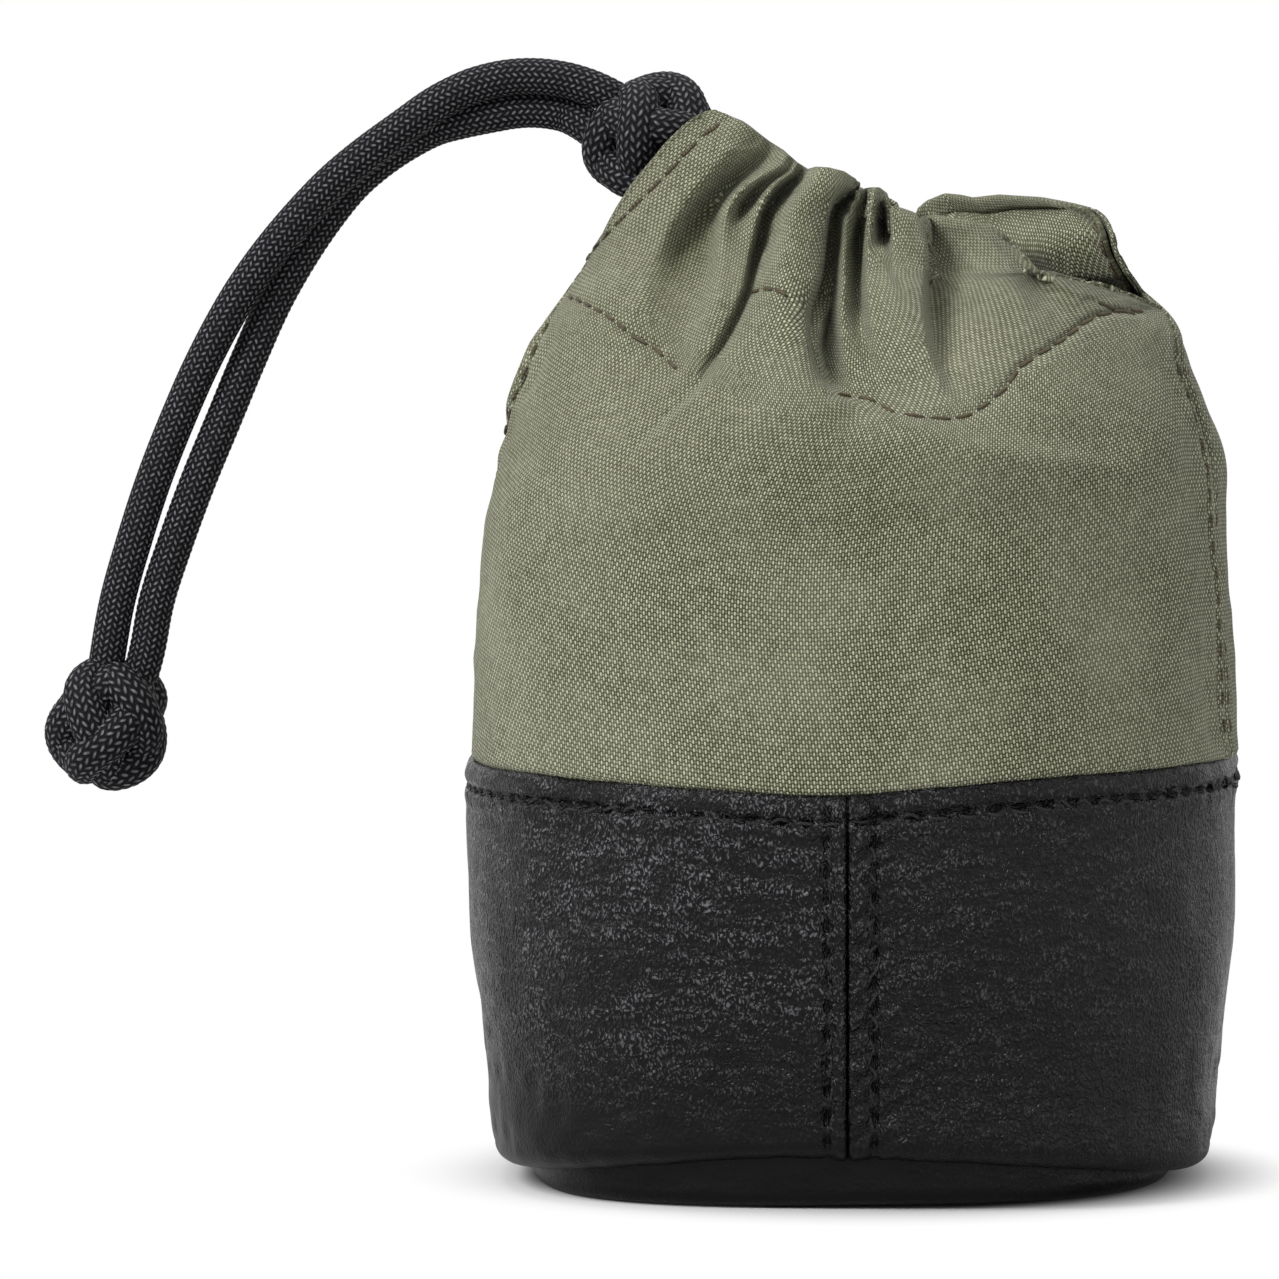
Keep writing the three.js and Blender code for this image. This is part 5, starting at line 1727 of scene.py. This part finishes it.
def add_wall_foam():
    """A padded sleeve, full between its ends and rounded over at both."""
    heights = np.linspace(FOAM_LOW, FOAM_HIGH, 90)
    outer = canvas_depth(heights, HIGHEST_RIM_LIFT) + 2.5 + 1.5 * smoothstep(heights, 62, 76)
    ends = np.minimum(heights - heights[0], heights[-1] - heights)
    rounding = 1.6 * (1 - np.sqrt(1 - (1 - np.clip(ends / 1.8, 0, 1)) ** 2))
    outside = ring_of_body(heights, outer + rounding, 240)
    inside = ring_of_body(heights, FOAM_INNER - 0.1 - rounding, 240)
    grid = np.concatenate([outside, inside[::-1]])
    rows, columns = grid.shape[:2]
    faces = join_grid(rows + 1, columns, wrap=True) % (rows * columns)
    piece = make_piece("wall_foam", grid, faces, foam_material)
    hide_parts("wall_padding")


add_wall_foam()


LINING_LOW = 9.6
LINING_HIGH = 83.2
LINING_DEPTH = 7.25
LINING_SHEET = 0.4


def add_lining():
    """A round bag: its floor is rings that close in, and its wall stands inside the foam."""
    heights = np.linspace(LINING_LOW, LINING_HIGH, 110)
    depths = LINING_DEPTH + 0.9 * np.exp(-((heights - heights[0]) / 1.2))
    wall = ring_of_body([8.7, *heights], [9.4, *depths], 320)
    along = lengths_along(wall, 1)
    sag = 0.32 * soft_noise(along, wall[..., 2], 9, 67)
    sag = sag + 0.14 * soft_noise(along, wall[..., 2] * 0.4, 3.4, 71)
    wall = wall - unit(wall * (1, 1, 0)) * (np.abs(sag) * smoothstep(wall[..., 2], 12, 20))[..., None]
    floor = np.array([wall[0] * (share, share, 1) for share in np.linspace(0.02, 0.985, 34)])
    floor[..., 2] = 8.75 + 0.25 * np.abs(soft_noise(floor[..., 0], floor[..., 1], 9, 73))
    grid = np.concatenate([floor, wall])
    points = grid.reshape(-1, 3)
    faces = join_grid(*grid.shape[:2], wrap=True)
    piece = make_piece("lining_bag", points, faces, lining_finish)
    rise = lengths_along(grid, 0)
    store(piece, "cloth", np.stack([lengths_along(grid, 1), rise, 0 * rise], axis=-1))
    thicken(piece, LINING_SHEET)
    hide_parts("lining")


add_lining()

board_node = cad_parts["base_board"]
board_node.data.materials.clear()
board_node.data.materials.append(board_material)


# Stitches
NEAR_PIXELS = 8
NEAR_PLACES = 4
LEAST_FACING = 0.3


class Surface:
    """A made surface that a row of stitches can lie on."""

    def __init__(self, *grids):
        self.points = np.concatenate([grid.reshape(-1, 3) for grid in grids])
        self.normals = np.concatenate([grid_normals(grid).reshape(-1, 3) for grid in grids])

    def nearest(self, places, pixels=False):
        """The surface's closest vertex to each place, or to each pixel."""
        cloud = np.stack(to_pixels(self.points), axis=1) if pixels else self.points
        found = []
        for place in places:
            close = np.abs(cloud - place).max(axis=1) < (NEAR_PIXELS if pixels else NEAR_PLACES)
            index = np.flatnonzero(close)
            if len(index) == 0:
                index = np.arange(len(cloud))
            found.append(index[np.argmin(((cloud[index] - place) ** 2).sum(axis=1))])
        return np.array(found)


def seat_pixels(route, surface):
    """A drawn row of stitches laid on a surface, in steps of 2 pixels."""
    rows = round_out(route, 12)
    along = lengths_along(rows)
    drawn = read_line(rows, along, np.arange(0, along[-1], 2))
    index = surface.nearest(drawn, pixels=True)
    points, normals = surface.points[index], surface.normals[index]
    rays = pixel_rays(drawn[:, 0], drawn[:, 1])
    facing = (rays * normals).sum(axis=1)
    square_on = np.abs(facing) >= LEAST_FACING
    reach = ((points - CAMERA_PLACE) * normals).sum(axis=1) / np.where(square_on, facing, 1)
    hits = CAMERA_PLACE + rays * reach[:, None]
    good = square_on & (np.linalg.norm(hits - points, axis=1) < 0.6)
    return np.where(good[:, None], hits, points), normals


def seat_places(places, surface):
    """Places brought onto a surface, along its normals."""
    index = surface.nearest(places)
    points, normals = surface.points[index], surface.normals[index]
    lift = ((points - places) * normals).sum(axis=1)
    return places + normals * lift[:, None], normals


STITCH_SIDES = 7
STITCH_RINGS = 9


def stitch_meshes(line, normals, pitch, length, radius, slant, lift, seed):
    """The separate stitches of a row: each rises from one hole and dips into the next."""
    line, normals = smooth_line(line), unit(smooth_line(normals, 6))
    along = lengths_along(line)
    chance = np.random.RandomState(seed)
    share = np.linspace(0, 1, STITCH_RINGS)
    dip = radius * (lift - 2.6 * np.abs(2 * share - 1) ** 6)
    thin = 1 - 0.35 * np.abs(2 * share - 1) ** 4
    ring = TURN * np.arange(STITCH_SIDES) / STITCH_SIDES
    points, faces = [], []
    for start in np.arange(0.4 * pitch, along[-1] - length, pitch):
        start = start + chance.uniform(-0.06, 0.06) * pitch
        places = start + length * chance.uniform(0.94, 1.04) * share
        middle, up = read_line(line, along, places), unit(read_line(normals, along, places))
        forward = unit(np.gradient(middle, axis=0))
        beside = np.cross(forward, up)
        lean = slant * (1 + 0.5 * chance.uniform(-1, 1))
        centre = middle + up * dip[:, None] + beside * (lean * (share - 0.5))[:, None]
        spoke = beside[:, None] * np.cos(ring)[None, :, None] + up[:, None] * np.sin(ring)[None, :, None]
        tube = centre[:, None] + spoke * (radius * thin)[:, None, None]
        base = sum(len(part) for part in points)
        points.append(tube.reshape(-1, 3))
        last = base + (STITCH_RINGS - 1) * STITCH_SIDES
        faces += join_grid(STITCH_RINGS, STITCH_SIDES, wrap=True, start=base).tolist()
        faces += [list(range(base + STITCH_SIDES - 1, base - 1, -1)), list(range(last, last + STITCH_SIDES))]
    return np.concatenate(points), faces


def add_stitches(node, lines, slot, pitch, length, radius, slant, lift=0.3):
    points, faces = [], []
    for order, (line, normals) in enumerate(lines):
        made, joined = stitch_meshes(line, normals, pitch, length, radius, slant, lift, 83 + order)
        base = sum(len(part) for part in points)
        points.append(made)
        faces += [[index + base for index in face] for face in joined]
    points = np.concatenate(points)
    piece = make_piece(node.replace("thread", "stitches"), points, faces, thread_materials[slot])
    stitches = len(points) // (STITCH_SIDES * STITCH_RINGS)
    share = np.tile(np.arange(STITCH_SIDES) / STITCH_SIDES, STITCH_RINGS * stitches)
    # The third number, how near a ring lies to its stitch's ends, paints shade on the thread there.
    end = np.tile(np.repeat(np.abs(np.linspace(-1, 1, STITCH_RINGS)), STITCH_SIDES), stitches)
    store(piece, "braid", np.stack([share, points @ [1, 1, 1], end], axis=1))
    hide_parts(node)


leather_surface = Surface(left_cup.points, right_cup.points)
canvas_front_surface = Surface(front_panel.points)
canvas_back_surface = Surface(back_panel.points)


def rim_row():
    """The row below the rim, once round the cup."""
    places = []
    rounds = np.linspace(0, 1, 420)
    for side, shares in ((FRONT, rounds), (BACK, rounds[::-1])):
        turn = share_to_turn(shares, 42 + 0 * shares)
        places.append(body_point(shares, rim_height(turn) - RIM_ROW_DROP, side))
    return seat_places(np.concatenate(places), leather_surface)


LEATHER_STITCH = {"pitch": STITCH_PITCH, "length": 2.4, "radius": 0.22, "slant": 0.1, "lift": -0.4}
SIDE_STITCH = {"pitch": SIDE_PITCH, "length": 1.9, "radius": 0.22, "slant": 0.1}
CANVAS_STITCH = {"pitch": 3.0, "length": 2.75, "radius": 0.24, "slant": 0.16}
add_stitches("rim_thread", [rim_row()], "black_thread", **LEATHER_STITCH)


def seam_row(place, offset, low, high, surface):
    """A row beside a seam, which lies at a place round the pouch."""
    heights = np.linspace(low, high, 160)
    return seat_places(around_point(place(heights) + offset / half_round(heights), heights), surface)


SEAM_LOW = 7.4
SEAM_HIGH = RIM - RIM_ROW_DROP - 0.8
for node, place, offset in (
    ("front_seam_thread_left", 0.5, -SEAM_ROW_LEFT), ("front_seam_thread_right", 0.5, SEAM_ROW_RIGHT),
    ("back_seam_thread_left", 1.5, SEAM_ROW_LEFT), ("back_seam_thread_right", 1.5, -SEAM_ROW_RIGHT),
):
    row = seam_row(lambda height: place, offset, SEAM_LOW, SEAM_HIGH, leather_surface)
    add_stitches(node, [row], "black_thread", **LEATHER_STITCH)

SIDE_LOW = 48.6
SIDE_HIGH = 93
for node, place, offset in (
    ("side_thread_left_front", left_seam_place, SIDE_ROW_OFFSET),
    ("side_thread_left_back", left_seam_place, -SIDE_ROW_OFFSET),
    ("side_thread_right_front", right_seam_place, -SIDE_ROW_OFFSET),
    ("side_thread_right_back", right_seam_place, SIDE_ROW_OFFSET),
):
    surface = canvas_front_surface if node.endswith("front") else canvas_back_surface
    row = seam_row(place, offset, SIDE_LOW, SIDE_HIGH, surface)
    add_stitches(node, [row], "brown_thread", **SIDE_STITCH)

for node, routes in (
    ("hem_thread_front", HEM_ROUTES), ("slit_thread_front_left", [SLIT_ROUTE_LEFT]),
    ("slit_thread_front_right", [SLIT_ROUTE_RIGHT]),
):
    rows = [seat_pixels(route, canvas_front_surface) for route in routes]
    add_stitches(node, rows, "brown_thread", **CANVAS_STITCH)


def back_hem_row():
    """The row along the back's hem, which is a row of the panel's own points."""
    columns = np.arange(8, PANEL_COLUMNS - 8, 2)
    return back_panel.points[BODY_ROWS - 1, columns], grid_normals(back_panel.points)[BODY_ROWS - 1, columns]


add_stitches("hem_thread_back", [back_hem_row()], "brown_thread", **CANVAS_STITCH)

SLIT_ROW_INSET = 1.5
PLIES_AT_EDGE = 1.45


def back_slit_rows(from_edge):
    """The row beside a slit of the back, on its outer face and on its inner face."""
    rows = np.arange(BODY_ROWS + 8, len(back_panel.points) - 6, 2)
    columns = np.argmin(np.abs(from_edge[rows] - SLIT_ROW_INSET), axis=1)
    points, normals = back_panel.points[rows, columns], grid_normals(back_panel.points)[rows, columns]
    return [(points, normals), (points - normals * PLIES_AT_EDGE, -normals)]


for node, from_edge in (
    ("slit_thread_back_right", back_panel.from_start), ("slit_thread_back_left", back_panel.from_end),
):
    add_stitches(node, back_slit_rows(from_edge), "brown_thread", lift=0, **CANVAS_STITCH)


# Floor, lamps and world
def add_floor():
    reach = 2500.0
    steps = np.linspace(-reach, reach, 9)
    across, deep = np.meshgrid(steps, steps)
    grid = np.stack([across, deep, 0 * across - 0.02], axis=-1)
    mesh = bpy.data.meshes.new("floor")
    mesh.from_pydata((grid.reshape(-1, 3) * MM).tolist(), [], join_grid(9, 9).tolist())
    floor = bpy.data.objects.new("floor", mesh)
    bpy.context.scene.collection.objects.link(floor)
    paper = Finish("white_floor", Roughness=0.9, Specular_IOR_Level=0.0)
    tone = paper.noise(paper.place(), 60.0)
    colour = paper.colour(tone, (0.8, 0.8, 0.8, 1), (0.82, 0.82, 0.82, 1))
    camera = paper.number(paper.node("ShaderNodeLightPath", {}, {}), "Is Camera Ray")
    glow = paper.node("ShaderNodeEmission", {}, {"Color": (1, 1, 1, 1), "Strength": 1.0})
    across, deep, _ = paper.parts(paper.place())
    away = (across * across + deep * deep) ** 0.5
    share = camera * away.step(34, 52)
    blend = paper.node("ShaderNodeMixShader", {}, {0: share, 1: paper.shader.outputs[0], 2: glow.outputs[0]})
    paper.feed(paper.output.inputs["Surface"], blend.outputs[0])
    mesh.materials.append(paper.finish_with(Base_Color=colour))
    floor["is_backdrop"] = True


def add_lamp(name, place, target, width, height, power):
    data = bpy.data.lights.new(name, "AREA")
    data.shape = "RECTANGLE"
    data.size = width
    data.size_y = height
    data.energy = power
    lamp = bpy.data.objects.new(name, data)
    lamp.location = place
    lamp.rotation_mode = "QUATERNION"
    lamp.rotation_quaternion = (Vector(target) - Vector(place)).to_track_quat("-Z", "Y")
    bpy.context.scene.collection.objects.link(lamp)


WORLD_LIGHT = 0.27


def add_world():
    """White where it is seen, and dimmer where it only lights."""
    world = bpy.data.worlds.new("studio")
    sky = Nodes(world, "ShaderNodeOutputWorld")
    path = sky.node("ShaderNodeLightPath", {}, {})
    rays = [sky.number(path, f"Is {ray} Ray") for ray in ("Camera", "Transmission", "Glossy")]
    strength = mix(WORLD_LIGHT, 1, rays[0].most(rays[1]).most(rays[2]))
    back = sky.node("ShaderNodeBackground", {}, {"Color": (1, 1, 1, 1), "Strength": strength})
    sky.feed(sky.output.inputs["Surface"], back.outputs[0])
    bpy.context.scene.world = world


add_floor()
middle = (-0.01, 0, 0.06)
add_lamp("key_softbox", (-0.72, -0.62, 0.78), middle, 0.45, 0.5, 11.5)
add_lamp("top_softbox", (-0.1, 0.15, 1.05), middle, 0.7, 0.6, 4.5)
add_lamp("fill_softbox", (0.9, -0.8, 0.3), middle, 0.5, 0.8, 3.0)
add_world()
bpy.context.scene.view_settings.view_transform = "Standard"

made_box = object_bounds()
({
    "model": [list(corner) for corner in model_box], "visual": [list(corner) for corner in made_box],
})
